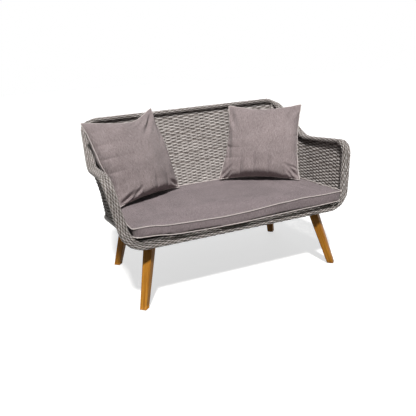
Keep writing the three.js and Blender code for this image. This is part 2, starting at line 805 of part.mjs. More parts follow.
function legPlate(plan) {
  const centre = legCentreAt(plan, legTop);
  const plate = new THREE.BoxGeometry(legPlateSide, legPlateSide, legPlateThickness);
  plate.translate(centre.x, centre.y, plateBottom + legPlateThickness / 2);
  const hole = uprightCylinder(centre, boltRadius + fit, plateBottom - overrun, railBottom + overrun);
  return cut(plate, hole);
}

function legRail() {
  const frontY = -seatFrontReach + wrapRadius + fit;
  const rearY = tubCornerReach + seatTubeRadius / 2;
  const outline = rectangle(legRailWidth / 2, legRailHeight / 2);
  outline.holes.push(rectangle(legRailWidth / 2 - legRailWall, legRailHeight / 2 - legRailWall));
  const rail = new THREE.ExtrudeGeometry(outline, { depth: rearY - frontY, bevelEnabled: false });
  rail.rotateX(Math.PI / 2);
  rail.translate(legRailHalfSpacing, rearY, (railTop + railBottom) / 2);
  const holes = legPlans.map((plan) =>
    uprightCylinder(legCentreAt(plan, legTop), boltRadius + fit, railBottom - overrun, railBottom + overrun),
  );
  return cut(rail, ...holes);
}

function rectangle(halfWidth, halfHeight) {
  const shape = new THREE.Shape();
  shape.moveTo(-halfWidth, -halfHeight);
  shape.lineTo(halfWidth, -halfHeight);
  shape.lineTo(halfWidth, halfHeight);
  shape.lineTo(-halfWidth, halfHeight);
  shape.closePath();
  return shape;
}

function nut(centre, bottom) {
  const body = uprightCylinder(centre, nutAcross / 2 / Math.cos(Math.PI / 6), bottom, bottom + nutHeight, 6);
  return cut(body, uprightCylinder(centre, boltRadius + fit, bottom - overrun, bottom + nutHeight + overrun));
}

function addLegs() {
  addPair('leg_rail', legRail(), frameFinish);
  const nutBottom = railBottom + legRailWall + fit;
  for (const plan of legPlans) {
    const top = legCentreAt(plan, legTop);
    const bolt = uprightCylinder(top, boltRadius, legTop - boltDepth, nutBottom + nutHeight + fit);
    const glide = uprightCylinder(legCentreAt(plan, glideHeight + fit), glideRadius, 0, glideHeight);
    addPair(`${plan.name}_leg`, leg(plan), woodFinish);
    addPair(`${plan.name}_leg_plate`, legPlate(plan), frameFinish);
    addPair(`${plan.name}_leg_bolt`, bolt, zincFinish);
    addPair(`${plan.name}_leg_nut`, nut(top, nutBottom), zincFinish);
    addPair(`${plan.name}_leg_glide`, glide, glideFinish);
  }
}

// Seat cushion: a plan outline with round corners, drawn in between its two pipings
function cushionOutline(inset, taperShare = 0) {
  const front = -seatCushionFrontReach + inset + taperShare * seatCushionEndTaper;
  const back = seatCushionBackReach - inset - taperShare * seatCushionEndTaper;
  const frontHalf = seatCushionHalfWidth - inset - taperShare * seatCushionSideTaper;
  const backHalf = frontHalf - seatCushionBackTaper;
  const cornerRadius = seatCushionFrontCorner + taperShare * seatCushionCornerTuck;
  const frontRadius = Math.max(cornerRadius - inset, pipingRadius);
  const backRadius = Math.max(seatCushionRearCorner - inset, pipingRadius);
  const right = [
    ...roundCorner(frontHalf - frontRadius, front + frontRadius, frontRadius, -Math.PI / 2),
    ...edgePoints([frontHalf, front + frontRadius], [backHalf, back - backRadius]),
    ...roundCorner(backHalf - backRadius, back - backRadius, backRadius, 0),
    ...edgePoints([backHalf - backRadius, back], [-(backHalf - backRadius), back]),
  ];
  const left = [
    ...roundCorner(-(backHalf - backRadius), back - backRadius, backRadius, Math.PI / 2),
    ...edgePoints([-backHalf, back - backRadius], [-frontHalf, front + frontRadius]),
    ...roundCorner(-(frontHalf - frontRadius), front + frontRadius, frontRadius, Math.PI),
    ...edgePoints([-(frontHalf - frontRadius), front], [frontHalf - frontRadius, front]),
  ];
  return [...right, ...left];
}

const roundCorner = (x, y, radius, startTurn) =>
  Array.from({ length: cushionCornerSteps + 1 }, (_, i) => {
    const turn = startTurn + ((Math.PI / 2) * i) / cushionCornerSteps;
    return [x + radius * Math.cos(turn), y + radius * Math.sin(turn)];
  });

const edgePoints = ([x0, y0], [x1, y1]) =>
  Array.from({ length: cushionEdgeSteps - 1 }, (_, i) => {
    const share = (i + 1) / cushionEdgeSteps;
    return [mix(x0, x1, share), mix(y0, y1, share)];
  });

const ringAtHeight = (outline, height) => outline.map(([x, y]) => point(x, y, height));

// Its belly lies on the deck, and its sides slope in towards the rounded foot of the tub
const seatCushionBelly = seatCushionBottom - deckHeight - weaveRelief - weaveThickness / 2 - 2 * fit;

function seatCushion() {
  const pipeRoom = pipingRadius + fit;
  const middle = (seatCushionTop + seatCushionBottom) / 2;
  const crownRings = crownShares.map((share) => {
    const rise = Math.sin((share * Math.PI) / 2);
    const inset = share * seatCushionBackReach;
    return {
      top: ringAtHeight(cushionOutline(inset), seatCushionTop + seatCushionCrown * rise),
      bottom: ringAtHeight(cushionOutline(inset, 1), seatCushionBottom - seatCushionBelly * rise),
    };
  });
  return loft([
    ...crownRings.toReversed().map((ring) => ring.bottom),
    ringAtHeight(cushionOutline(pipeRoom, 1), seatCushionBottom - fit),
    ringAtHeight(cushionOutline(pipeRoom, 1), seatCushionBottom + pipeRoom),
    ringAtHeight(cushionOutline(seatCushionWaist, 1 / 2), middle),
    ringAtHeight(cushionOutline(pipeRoom), seatCushionTop - pipeRoom),
    ringAtHeight(cushionOutline(pipeRoom), seatCushionTop + fit),
    ...crownRings.map((ring) => ring.top),
  ]);
}

// A cord sewn into a seam: a thin closed loop along a flat outline
function pipingLoop(seam, seamNormal) {
  const rings = seam.map((p, i) => {
    const next = seam[(i + 1) % seam.length];
    const previous = seam[(i + seam.length - 1) % seam.length];
    const along = next.clone().sub(previous).normalize();
    return placeSection(frameSample(p, along, seamNormal), circleOutline(pipingRadius, pipingSides));
  });
  const triangles = [];
  rings.forEach((_, i) => {
    pushBand(triangles, i * pipingSides, ((i + 1) % rings.length) * pipingSides, pipingSides);
  });
  return closedGeometry(rings.flat(), triangles);
}

function addSeatCushion() {
  const topSeam = ringAtHeight(cushionOutline(0), seatCushionTop);
  const bottomSeam = ringAtHeight(cushionOutline(0, 1), seatCushionBottom);
  addPiece('seat_piping_bottom', pipingLoop(bottomSeam, upwards), pipingFinish);
  return [
    addPiece('seat_cushion', seatCushion(), fabricFinish),
    addPiece('seat_piping_top', pipingLoop(topSeam, upwards), pipingFinish),
  ];
}

// Scatter cushions: square, with hollowed edges, drawn-out ears and a soft crown on both faces
function scatterSeam(inset) {
  const half = scatterSide / 2;
  const seam = [];
  for (let side = 0; side < 4; side += 1) {
    const turn = (side * Math.PI) / 2;
    for (let i = 0; i < scatterEdgeSteps; i += 1) {
      const share = i / scatterEdgeSteps;
      const hollow = scatterEdgeHollow * Math.sin(Math.PI * share) ** hollowSoftness;
      const ear = i === 0 ? scatterEarReach : 0;
      const reach = half - hollow - inset + ear;
      const along = mix(-half - ear + inset, half - inset, share);
      const [a, b] = [along, -reach];
      seam.push(point(a * Math.cos(turn) - b * Math.sin(turn), 0, a * Math.sin(turn) + b * Math.cos(turn)));
    }
  }
  return seam;
}

// How full the cushion is at a share of the way from its middle to its edge
const scatterFullness = (share) => (1 - Math.abs(share) ** swellSquareness) ** swellSoftness;

function scatterCushion() {
  const seam = scatterSeam(pipingRadius + bendClearance);
  const ringsOn = (side) =>
    scatterRingShares.map((share) =>
      seam.map((p) => {
        const reach = Math.max(Math.abs(p.x), Math.abs(p.z));
        const fullness = scatterFullness((share * p.x) / reach) * scatterFullness((share * p.z) / reach);
        return point(p.x * share, (-side * fullness * scatterThickness) / 2, p.z * share);
      }),
    );
  const front = ringsOn(1);
  return loft([...ringsOn(-1).toReversed(), seam, ...front]);
}

// The cushion's outer top ear reaches towards the arm and its inner top ear towards the back rail
function scatterPlace({ side, armGap, turn, lean, roll }) {
  const [turned, leaned] = [turn, lean].map(THREE.MathUtils.degToRad);
  const half = scatterSide / 2;
  const earAcross = half * (Math.cos(turned) + Math.sin(leaned) * Math.sin(turned));
  const earBack = half * (Math.sin(turned) + Math.sin(leaned) * Math.cos(turned));
  const place = new THREE.Group();
  place.position.x = side * (armBendHalfWidth - armGap - earAcross);
  place.position.y = backTopReach - wrapRadius - scatterRailGap - earBack;
  place.position.z = backTopHeight;
  place.rotation.order = 'ZXY';
  place.rotation.set(-leaned, side * THREE.MathUtils.degToRad(roll), -side * turned);
  return place;
}

// How far a piece can come down before it meets the pieces below
function dropTo(pieces, falling) {
  const ray = new THREE.Raycaster();
  const corners = falling.geometry.getAttribute('position');
  let drop = Infinity;
  for (let i = 0; i < corners.count; i += 1) {
    const corner = falling.localToWorld(point().fromBufferAttribute(corners, i));
    ray.set(corner, point(0, 0, -1));
    const [hit] = ray.intersectObjects(pieces);
    drop = Math.min(drop, hit ? hit.distance : Infinity);
  }
  return drop;
}

function addScatterCushions(seatPieces) {
  for (const plan of scatterPlans) {
    const place = scatterPlace(plan);
    const cushion = addPiece(`scatter_cushion_${plan.name}`, scatterCushion(), fabricFinish);
    const cord = pipingLoop(scatterSeam(0), towardsFront);
    const piping = addPiece(`scatter_piping_${plan.name}`, cord, pipingFinish);
    place.add(cushion, piping);
    sofa.add(place);
    place.updateMatrixWorld(true);
    place.position.z -= Math.min(dropTo(seatPieces, cushion), dropTo(seatPieces, piping)) - fit;
  }
}

addRim();
addSeatFrame();
addWall();
addCornerPosts();
addBackStays();
addDeck();
addLegs();
addScatterCushions(addSeatCushion());

// The origin goes under the middle of the sofa
const extent = new THREE.Box3().setFromObject(sofa);
sofa.position.y = -(extent.min.y + extent.max.y) / 2;
sofa.position.x = -(extent.min.x + extent.max.x) / 2;

export default sofa;
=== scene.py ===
import math

import bmesh
import bpy
import numpy as np
from mathutils import Matrix, Vector


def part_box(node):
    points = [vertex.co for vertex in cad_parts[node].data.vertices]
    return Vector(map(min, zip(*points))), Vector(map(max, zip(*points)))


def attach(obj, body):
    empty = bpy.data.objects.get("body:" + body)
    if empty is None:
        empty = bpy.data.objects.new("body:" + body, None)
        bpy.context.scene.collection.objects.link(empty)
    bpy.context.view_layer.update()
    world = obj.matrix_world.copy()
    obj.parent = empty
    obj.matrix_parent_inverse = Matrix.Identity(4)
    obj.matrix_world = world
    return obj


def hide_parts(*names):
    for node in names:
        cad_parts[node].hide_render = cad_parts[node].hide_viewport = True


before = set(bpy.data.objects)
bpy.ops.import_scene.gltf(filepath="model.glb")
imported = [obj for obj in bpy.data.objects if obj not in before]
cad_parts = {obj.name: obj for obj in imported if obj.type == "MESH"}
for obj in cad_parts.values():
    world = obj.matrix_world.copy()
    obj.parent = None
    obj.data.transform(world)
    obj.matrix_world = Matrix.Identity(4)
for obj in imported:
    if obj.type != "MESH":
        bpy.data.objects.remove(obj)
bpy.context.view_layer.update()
scene = bpy.context.scene
mm = 0.001
up = np.array([0.0, 0.0, 1.0])

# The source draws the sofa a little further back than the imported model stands
frontInSource = -336
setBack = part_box("front_rail_wrap")[0].y / mm - frontInSource


def spot(x, y, z):
    return np.array([x, y + setBack, z]) * mm


def unit(v):
    return v / np.linalg.norm(v, axis=-1, keepdims=True)


def mix(a, b, share):
    return a + (b - a) * share


def squareTo(across, along):
    return unit(across - np.sum(across * along, axis=-1, keepdims=True) * along)


def mirrored(p):
    return np.asarray(p) * (-1, 1, 1)


def runOf(line):
    # The running length at each point of a line
    return np.concatenate([[0], np.cumsum(np.linalg.norm(np.diff(line, axis=0), axis=1))])


def sampled(at, run, table):
    # The columns of a table, read between its rows
    return np.stack([np.interp(at, run, column) for column in table.T], -1)


def tuned(target, **settings):
    for key, value in settings.items():
        setattr(target, key, value)
    return target


def addObject(name, data):
    made = bpy.data.objects.new(name, data)
    scene.collection.objects.link(made)
    return made


# ---- camera and light

camera = {
    "spot": (-1065.879, -2501.419, 1165.405), "yaw": 22.174, "pitch": -17.215, "roll": -3.784,
    "lens": 46.67, "sensor": 36,
}
lamps = {
    "sun": {"spot": (-0.60, -1.71, 2.37), "aim": 0, "strength": 4.4, "spread": 5, "colour": (1.0, 0.985, 0.96)},
    "fill": {"spot": (-0.9, -2.8, 2.6), "aim": 0.4, "strength": 3, "size": 2.0, "colour": (0.93, 0.97, 1.0)},
    "behind": {"spot": (1.2, 3.4, 2.2), "aim": 0.4, "strength": 16, "size": 2.5, "colour": (0.96, 0.98, 1.0)},
}
sky = {"above": 0.24, "horizon": 0.03, "colour": (0.95, 0.98, 1.0, 1)}


def placeCamera():
    yaw, pitch, roll = (math.radians(camera[k]) for k in ("yaw", "pitch", "roll"))
    forwards = np.array([math.sin(yaw) * math.cos(pitch), math.cos(yaw) * math.cos(pitch), math.sin(pitch)])
    level = np.array([math.cos(yaw), -math.sin(yaw), 0])
    above = np.cross(level, forwards)
    right = math.cos(roll) * level + math.sin(roll) * above
    top = math.cos(roll) * above - math.sin(roll) * level
    data = tuned(bpy.data.cameras.new("photoCamera"), lens=camera["lens"], sensor_width=camera["sensor"])
    body = addObject("photoCamera", data)
    turned = np.stack([right, top, -forwards], 1)
    at = spot(*camera["spot"])
    body.matrix_world = Matrix([[*row, place] for row, place in zip(turned, at)] + [[0, 0, 0, 1]])
    scene.camera = body


def placeLamps():
    for name, plan in lamps.items():
        light = bpy.data.lights.new(name, "AREA" if "size" in plan else "SUN")
        light.energy, light.color = plan["strength"], plan["colour"]
        if "size" in plan:
            light.size = plan["size"]
        else:
            light.angle = math.radians(plan["spread"])
        body = addObject(name, light)
        body.location = plan["spot"]
        aim = Vector((0, 0, plan["aim"]))
        body.rotation_euler = (aim - body.location).to_track_quat("-Z", "Y").to_euler()


# ---- materials

def startMaterial(name):
    material = bpy.data.materials.new(name)
    material.use_nodes = True
    tree = material.node_tree
    tree.nodes.clear()
    output = tree.nodes.new("ShaderNodeOutputMaterial")
    shader = tree.nodes.new("ShaderNodeBsdfPrincipled")
    tree.links.new(shader.outputs[0], output.inputs[0])
    return material, tree, shader


def feed(tree, node, inputs):
    for key, value in inputs.items():
        if isinstance(value, bpy.types.NodeSocket):
            tree.links.new(value, node.inputs[key])
        else:
            node.inputs[key].default_value = value


def addNode(tree, kind, inputs, **settings):
    made = tuned(tree.nodes.new("ShaderNode" + kind), **settings)
    feed(tree, made, inputs)
    return made


def readPattern(tree, name):
    return addNode(tree, "Attribute", {}, attribute_name=name).outputs["Vector"]


def noise(tree, place, size, detail, distortion=0.0):
    # The size is one number, or three for noise that is stretched
    if isinstance(size, tuple):
        place, size = addNode(tree, "Mapping", {0: place, 3: size}).outputs[0], 1.0
    inputs = {"Vector": place, "Scale": size, "Detail": detail, "Distortion": distortion}
    return addNode(tree, "TexNoise", inputs).outputs[0]


def ramp(tree, factor, *stops):
    made = addNode(tree, "ValToRGB", {0: factor})
    elements = made.color_ramp.elements
    while len(elements) < len(stops):
        elements.new(0.5)
    for element, (place, colour) in zip(elements, stops):
        element.position = place
        element.color = (*colour, 1)
    return made.outputs[0]


def blended(tree, kind, share, a, b):
    return addNode(tree, "Mix", {0: share, 6: a, 7: b}, data_type="RGBA", blend_type=kind).outputs[2]


def reckoned(tree, operation, a, b):
    return addNode(tree, "Math", {0: a, 1: b}, operation=operation).outputs[0]


def span(tree, value, low, high):
    return addNode(tree, "MapRange", {0: value, 3: low, 4: high}).outputs[0]


def bump(tree, height, depth, strength):
    return addNode(tree, "Bump", {"Height": height, "Distance": depth, "Strength": strength}).outputs[0]


# The dark, the middle and the pale tone of each
wickerTones = {
    "wicker": ((0.22, 0.205, 0.202), (0.44, 0.420, 0.417), (0.69, 0.675, 0.675)),
    "deckStrap": ((0.16, 0.138, 0.130), (0.29, 0.258, 0.246), (0.40, 0.365, 0.352)),
}
wickerLook = {
    "fine": (55, 1500, 37), "patches": (16, 40, 91), "rough": (0.62, 0.85), "specular": 0.12, "relief": (0.0006, 0.7),
    "stops": (0.30, 0.50, 0.72),
    "fade": ((0.30, (0.72, 0.70, 0.69)), (0.55, (1.0, 0.99, 0.98)), (0.75, (1.22, 1.2, 1.19))),
    # Painted light where a strand stands proud, and painted shade where it dips behind its neighbours
    "paintedShadeTones": (
        (0.05, (1.10, 1.085, 1.07)), (0.50, (0.92, 0.90, 0.885)),
        (0.76, (0.67, 0.635, 0.61)), (0.93, (0.35, 0.315, 0.29)),
    ),
}


def makeWicker(name):
    material, tree, shader = startMaterial(name)
    strand = readPattern(tree, "strand")
    fine = noise(tree, strand, wickerLook["fine"], 3.0)
    streaks = ramp(tree, fine, *zip(wickerLook["stops"], wickerTones[name]))
    slow = ramp(tree, noise(tree, strand, wickerLook["patches"], 2.0), *wickerLook["fade"])
    # The colour is darkened by painted shade where strands dip behind their neighbours, and lightened by painted
    # light where they stand proud
    paintedShade = addNode(tree, "SeparateXYZ", {0: readPattern(tree, "paintedShade")}).outputs[0]
    whole = blended(tree, "MULTIPLY", 1.0, streaks, slow)
    feed(tree, shader, {
        "Base Color": blended(tree, "MULTIPLY", 1.0, whole, ramp(tree, paintedShade, *wickerLook["paintedShadeTones"])),
        "Roughness": span(tree, fine, *wickerLook["rough"]), "Specular IOR Level": wickerLook["specular"],
        "Normal": bump(tree, fine, *wickerLook["relief"]),
    })
    return material


fabricTones = {
    "seatFabric": ((0.116, 0.090, 0.094), (0.208, 0.170, 0.178), (0.32, 0.272, 0.284)),
    "scatterFabric": ((0.145, 0.112, 0.112), (0.262, 0.216, 0.218), (0.40, 0.350, 0.355)),
    "pipingFabric": ((0.40, 0.345, 0.33), (0.56, 0.50, 0.485), (0.72, 0.665, 0.65)),
}
fabricLook = {
    "yarn": 0.0011, "slub": (1150, 70, 70), "crossSlub": (85, 900, 900), "cloud": (9, 9, 9), "weft": 0.35,
    "stops": (0.33, 0.50, 0.68), "clouds": ((0.25, (0.88, 0.88, 0.88)), (0.75, (1.1, 1.1, 1.1))),
    "rough": 0.92, "specular": 0.1, "sheen": 0.12, "sheenRough": 0.55, "relief": (0.00045, 0.8),
}


def makeFabric(name):
    material, tree, shader = startMaterial(name)
    cloth = readPattern(tree, "cloth")
    warp = noise(tree, cloth, fabricLook["slub"], 3.0)
    weft = noise(tree, cloth, fabricLook["crossSlub"], 2.0)
    yarns = blended(tree, "MIX", fabricLook["weft"], warp, weft)
    melange = ramp(tree, yarns, *zip(fabricLook["stops"], fabricTones[name]))
    clouds = ramp(tree, noise(tree, cloth, fabricLook["cloud"], 4.0), *fabricLook["clouds"])
    # At scale 1 the bands of this texture lie 2 pi / 20 apart
    wave = {"Vector": cloth, "Scale": 2 * math.pi / fabricLook["yarn"] / 20, "Distortion": 0.4}
    across, down = (addNode(tree, "TexWave", wave, bands_direction=way).outputs[1] for way in ("X", "Z"))
    threads = reckoned(tree, "ADD", reckoned(tree, "MULTIPLY", across, down), warp)
    feed(tree, shader, {
        "Base Color": blended(tree, "MULTIPLY", 1.0, melange, clouds), "Roughness": fabricLook["rough"],
        "Specular IOR Level": fabricLook["specular"], "Sheen Weight": fabricLook["sheen"],
        "Sheen Roughness": fabricLook["sheenRough"], "Normal": bump(tree, threads, *fabricLook["relief"]),
    })
    return material


woodLook = {
    "tones": ((0.30, (0.20, 0.070, 0.006)), (0.50, (0.38, 0.155, 0.014)), (0.70, (0.52, 0.245, 0.034))),
    "wander": (26, 26, 5), "rings": (150, 150, 3.5), "pores": (1300, 1300, 22),
    "poreTones": ((0.36, (0.62, 0.55, 0.5)), (0.47, (1, 1, 1))), "rough": (0.60, 0.45), "specular": 0.25,
    "relief": (0.0003, 0.5),
}


def makeWood(name):
    material, tree, shader = startMaterial(name)
    grain = readPattern(tree, "grain")
    rings = noise(tree, grain, woodLook["rings"], 4.0, 0.6)
    pores = noise(tree, grain, woodLook["pores"], 2.0)
    figure = blended(tree, "MIX", 0.35, rings, noise(tree, grain, woodLook["wander"], 3.0))
    colour, dots = ramp(tree, figure, *woodLook["tones"]), ramp(tree, pores, *woodLook["poreTones"])
    feed(tree, shader, {
        "Base Color": blended(tree, "MULTIPLY", 0.7, colour, dots),
        "Roughness": span(tree, pores, *woodLook["rough"]),
        "Specular IOR Level": woodLook["specular"], "Normal": bump(tree, pores, *woodLook["relief"]),
    })
    return material


hardLooks = {
    "powderCoat": {
        "tones": ((0.35, (0.070, 0.058, 0.050)), (0.65, (0.105, 0.090, 0.080))),
        "metal": 0.0, "rough": (0.38, 0.55), "grain": 900,
    },
    "zinc": {
        "tones": ((0.35, (0.40, 0.40, 0.39)), (0.65, (0.62, 0.62, 0.63))),
        "metal": 1.0, "rough": (0.28, 0.48), "grain": 300,
    },
    "glidePlastic": {
        "tones": ((0.35, (0.018, 0.018, 0.018)), (0.65, (0.040, 0.039, 0.038))),
        "metal": 0.0, "rough": (0.45, 0.65), "grain": 700,
    },
}


hardRelief = (0.0001, 0.5)


def makeHard(name):
    look = hardLooks[name]
    material, tree, shader = startMaterial(name)
    place = addNode(tree, "TexCoord", {}).outputs["Object"]
    speckle, broad = noise(tree, place, look["grain"], 2.0), noise(tree, place, 14, 4.0)
    both = blended(tree, "MIX", 0.5, speckle, broad)
    feed(tree, shader, {
        "Base Color": ramp(tree, both, *look["tones"]), "Metallic": look["metal"],
        "Roughness": span(tree, broad, *look["rough"]), "Normal": bump(tree, speckle, *hardRelief),
    })
    return material


floorLook = {
    "reach": 14, "tones": ((0.3, (0.50, 0.50, 0.50)), (0.7, (0.53, 0.53, 0.53))), "rough": 0.9,
    "glow": 0.62, "underLight": (0.05, 0.05, 0.035, 1),
}


def shownRays(tree):
    rays = addNode(tree, "LightPath", {}).outputs
    seen = reckoned(tree, "MAXIMUM", rays["Is Camera Ray"], rays["Is Glossy Ray"])
    return reckoned(tree, "MAXIMUM", seen, rays["Is Transmission Ray"])


def makeFloor():
    material, tree, shader = startMaterial("floorPaper")
    place = addNode(tree, "TexCoord", {}).outputs["Object"]
    paper = ramp(tree, noise(tree, place, 3, 2.0), *floorLook["tones"])
    feed(tree, shader, {"Base Color": paper, "Roughness": floorLook["rough"]})
    # It looks white with a soft shadow, but throws as little light upwards as a lawn does
    white = addNode(tree, "Emission", {"Color": (1, 1, 1, 1), "Strength": floorLook["glow"]})
    lit = addNode(tree, "AddShader", {0: shader.outputs[0], 1: white.outputs[0]})
    lawn = addNode(tree, "BsdfDiffuse", {"Color": floorLook["underLight"]})
    both = addNode(tree, "MixShader", {0: shownRays(tree), 1: lawn.outputs[0], 2: lit.outputs[0]})
    tree.links.new(both.outputs[0], next(n for n in tree.nodes if n.type == "OUTPUT_MATERIAL").inputs[0])
    return material


def makeSky():
    world = bpy.data.worlds.new("studio")
    world.use_nodes = True
    tree = world.node_tree
    tree.nodes.clear()
    place = addNode(tree, "TexCoord", {}).outputs["Generated"]
    height = addNode(tree, "SeparateXYZ", {0: place}).outputs[2]
    strength = span(tree, height, sky["horizon"], sky["above"])
    soft = addNode(tree, "Background", {"Color": sky["colour"], "Strength": strength})
    white = addNode(tree, "Background", {"Color": (1, 1, 1, 1), "Strength": 1.0})
    both = addNode(tree, "MixShader", {0: shownRays(tree), 1: soft.outputs[0], 2: white.outputs[0]})
    addNode(tree, "OutputWorld", {0: both.outputs[0]})
    scene.world = world


# ---- meshes

def meshFrom(bm, name):
    mesh = bpy.data.meshes.new(name)
    bm.to_mesh(mesh)
    bm.free()
    return mesh


def uprights(bm):
    return [e for e in bm.edges if abs(e.verts[0].co.z - e.verts[1].co.z) > 0.5]


def softened(bm, edges, width, segments=2):
    bmesh.ops.bevel(bm, geom=edges, offset=width, segments=segments, profile=0.5, affect="EDGES", material=-1)


def endRings(bm):
    # The edges round the ends of a post or a rod, which have many sides
    return [e for e in bm.edges if any(len(f.verts) > 4 for f in e.link_faces)]


def layFloor():
    bm = bmesh.new()
    bmesh.ops.create_circle(bm, cap_ends=True, radius=floorLook["reach"], segments=64)
    mesh = meshFrom(bm, "floor")
    mesh.materials.append(makeFloor())
    floor = addObject("floor", mesh)


placeCamera()
placeLamps()
makeSky()
layFloor()
scene.view_settings.view_transform = "Standard"
materials = {name: makeWicker(name) for name in wickerTones}
materials.update({name: makeFabric(name) for name in fabricTones})
materials.update({name: makeHard(name) for name in hardLooks})
materials["oiledWood"] = makeWood("oiledWood")
print("camera, light and materials are ready")


# ---- pieces

def addPiece(name, mesh, material, slot, *nodes):
    piece = addObject(name, mesh)
    mesh.materials.clear()
    mesh.materials.append(materials[material])
    mesh.shade_smooth()
    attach(piece, "root")
    if nodes:
        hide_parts(*nodes)
    return piece


def places(mesh):
    co = np.zeros(len(mesh.vertices) * 3)
    mesh.vertices.foreach_get("co", co)
    return co.reshape(-1, 3)


def setPlaces(mesh, co):
    mesh.vertices.foreach_set("co", np.asarray(co, np.float32).ravel())
    mesh.update()


def pattern(mesh, name):
    values = np.zeros(len(mesh.vertices) * 3)
    mesh.attributes[name].data.foreach_get("vector", values)
    return values.reshape(-1, 3)


def setPattern(mesh, name, values):
    layer = mesh.attributes.get(name) or mesh.attributes.new(name, "FLOAT_VECTOR", "POINT")
    layer.data.foreach_set("vector", np.asarray(values, np.float32).ravel())


def closedMesh(name, mesh, sides):
    # Joins the seams of tubes, fills their ends and turns the faces outwards
    bm = bmesh.new()
    bm.from_mesh(mesh)
    bmesh.ops.remove_doubles(bm, verts=bm.verts, dist=1e-6)
    bmesh.ops.holes_fill(bm, edges=[e for e in bm.edges if e.is_boundary], sides=sides)
    bmesh.ops.recalc_face_normals(bm, faces=bm.faces)
    bm.to_mesh(mesh)
    bm.free()
    mesh.name = name
    return mesh


# How wide the strip of a strand is in its grid, and how far apart the patterns of two strands lie
strips = {"width": 0.9, "shift": 0.047}


def strandMesh(name, strands, sheetAt, cut):
    # Each strand is a strip of a grid, rolled into an oval tube that swings over and under
    bm = bmesh.new()
    for i, strand in enumerate(strands):
        count = max(2, round((strand["end"] - strand["start"]) / cut["step"]))
        toRow = Matrix.Translation((0.5, i + strips["width"] / 2, 0)) @ Matrix.Diagonal((1, strips["width"], 1, 1))
        bmesh.ops.create_grid(bm, x_segments=count, y_segments=cut["sides"], size=0.5, matrix=toRow)
    mesh = meshFrom(bm, name)
    co = places(mesh)
    number = np.floor(co[:, 1] + 0.02).astype(int)
    turn = (co[:, 1] - number) / strips["width"] * 2 * math.pi
    pick = lambda key: np.array([strand[key] for strand in strands], float)[number]
    along = mix(pick("start"), pick("end"), np.clip(co[:, 0], 0, 1))
    swing = np.cos(math.pi * (along - pick("phase")) / cut["pitch"]) * pick("side")
    # A strand stays at its height for longer than a cosine does
    lift = cut["relief"] * swing * (1.45 - 0.45 * swing**2)
    if "bulge" in cut:
        lift = lift * cut["bulge"](along)
    half = cut["height"] / 2 * (cut["pinch"] + (1 - cut["pinch"]) * np.abs(swing) ** 0.8)
    level = pick("level") + cut.get("slant", 0) * along
    across = np.sign(np.cos(turn)) * np.abs(np.cos(turn)) ** cut.get("flat", 1)
    placed = sheetAt(along, level + half * across, lift + cut["thickness"] / 2 * np.sin(turn))
    setPattern(mesh, "strand", np.stack([along, number * strips["shift"] + half * across, pick("tone")], 1))
    # Painted light on the proud side of a strand and painted shade where it dips behind its neighbours; a cut can
    # give a fixed painted shade instead
    proud = swing * np.sign(np.sin(turn)) * np.abs(np.sin(turn)) ** 0.5
    paintedShade = cut["paintedShade"] + 0 * along if "paintedShade" in cut else 0.5 - 0.5 * proud
    paintedShade = paintedShade * cut.get("paintedShadeDepth", 1) + cut.get("paintedShadeShift", 0)
    setPattern(mesh, "paintedShade", np.stack([paintedShade, paintedShade, paintedShade], 1))
    setPlaces(mesh, placed)
    return closedMesh(name, mesh, cut["sides"])


def joinedMesh(name, *meshes):
    bm = bmesh.new()
    for mesh in meshes:
        bm.from_mesh(mesh)
    return meshFrom(bm, name)


def strandRow(start, end, level, side=1, phase=0.0, tone=0.5):
    return {"start": start, "end": end, "level": level, "side": side, "phase": phase, "tone": tone}


chance = np.random.default_rng(7)
sides = ((1, "right"), (-1, "left"))


# ---- the bent lines of the frame

rim = {
    "seatFront": (565, -325, 322), "seatFrontBend": 95,
    "armFront": (620, -285, 632), "armFrontBend": 65,
    "armHollow": (607, 88, 606), "armHollowBend": 140,
    "backTop": (567, 360, 803), "backTopBend": 75,
    "tubeSpacing": 24, "tubeRadius": 8, "wrapRadius": 11,
    "wrapJoint": 0.5, "slopeJoint": 0.3, "tubeJoint": 0.6,
}
seat = {
    "front": (500, -325, 318), "corner": (552, 255, 318), "cornerBend": 75,
    "tubeRadius": 12.5, "crossBar": 185, "postRadius": 10, "postTuck": 10.5, "stayRadius": 4, "stayInset": 1,
    "gap": 0.3,
}
bendSteps = 14


def bentPath(corners):
    # Corner bends with the straight runs that lead into them
    count = len(corners)
    alongs = [unit(corners[i]["at"] - corners[i - 1]["at"]) for i in range(count)]
    acrosses = [unit(np.cross(alongs[i], corners[i]["wallUp"])) for i in range(count)]
    bends = []
    for i, corner in enumerate(corners):
        before, after = alongs[i], alongs[(i + 1) % count]
        cosine = float(np.dot(before, after))
        angle = math.acos(max(-1, min(1, cosine)))
        inwards = unit(after - before * cosine)
        start = corner["at"] - before * corner["radius"] * math.tan(angle / 2)
        centre = start + inwards * corner["radius"]
        share = np.linspace(0, 1, bendSteps + 1)[:, None]
        turn = share * angle
        at = centre - inwards * corner["radius"] * np.cos(turn) + before * corner["radius"] * np.sin(turn)
        along = before * np.cos(turn) + inwards * np.sin(turn)
        across = squareTo(mix(acrosses[i], acrosses[(i + 1) % count], share), along)
        bends.append({"at": at, "across": across, "out": unit(np.cross(across, along))})
    return bends


def rimBends():
    names = ("seatFront", "armFront", "armHollow", "backTop")
    corners = [(spot(*rim[name]), rim[name + "Bend"] * mm) for name in names]
    armUp = unit(corners[1][0] - corners[0][0])
    slopeUp = unit(corners[3][0] - spot(*seat["corner"]))
    front = np.array([0.0, -1.0, 0.0])
    wallUps = [front, front, armUp, slopeUp]
    # The left side goes back the same way, mirrored
    wallUps += [unit(slopeUp * (0, 1, 1)), *(mirrored(v) for v in (slopeUp, armUp, front))]
    corners += [(mirrored(at), radius) for at, radius in reversed(corners)]
    return bentPath([{"at": at, "radius": r, "wallUp": wallUp} for (at, r), wallUp in zip(corners, wallUps)])


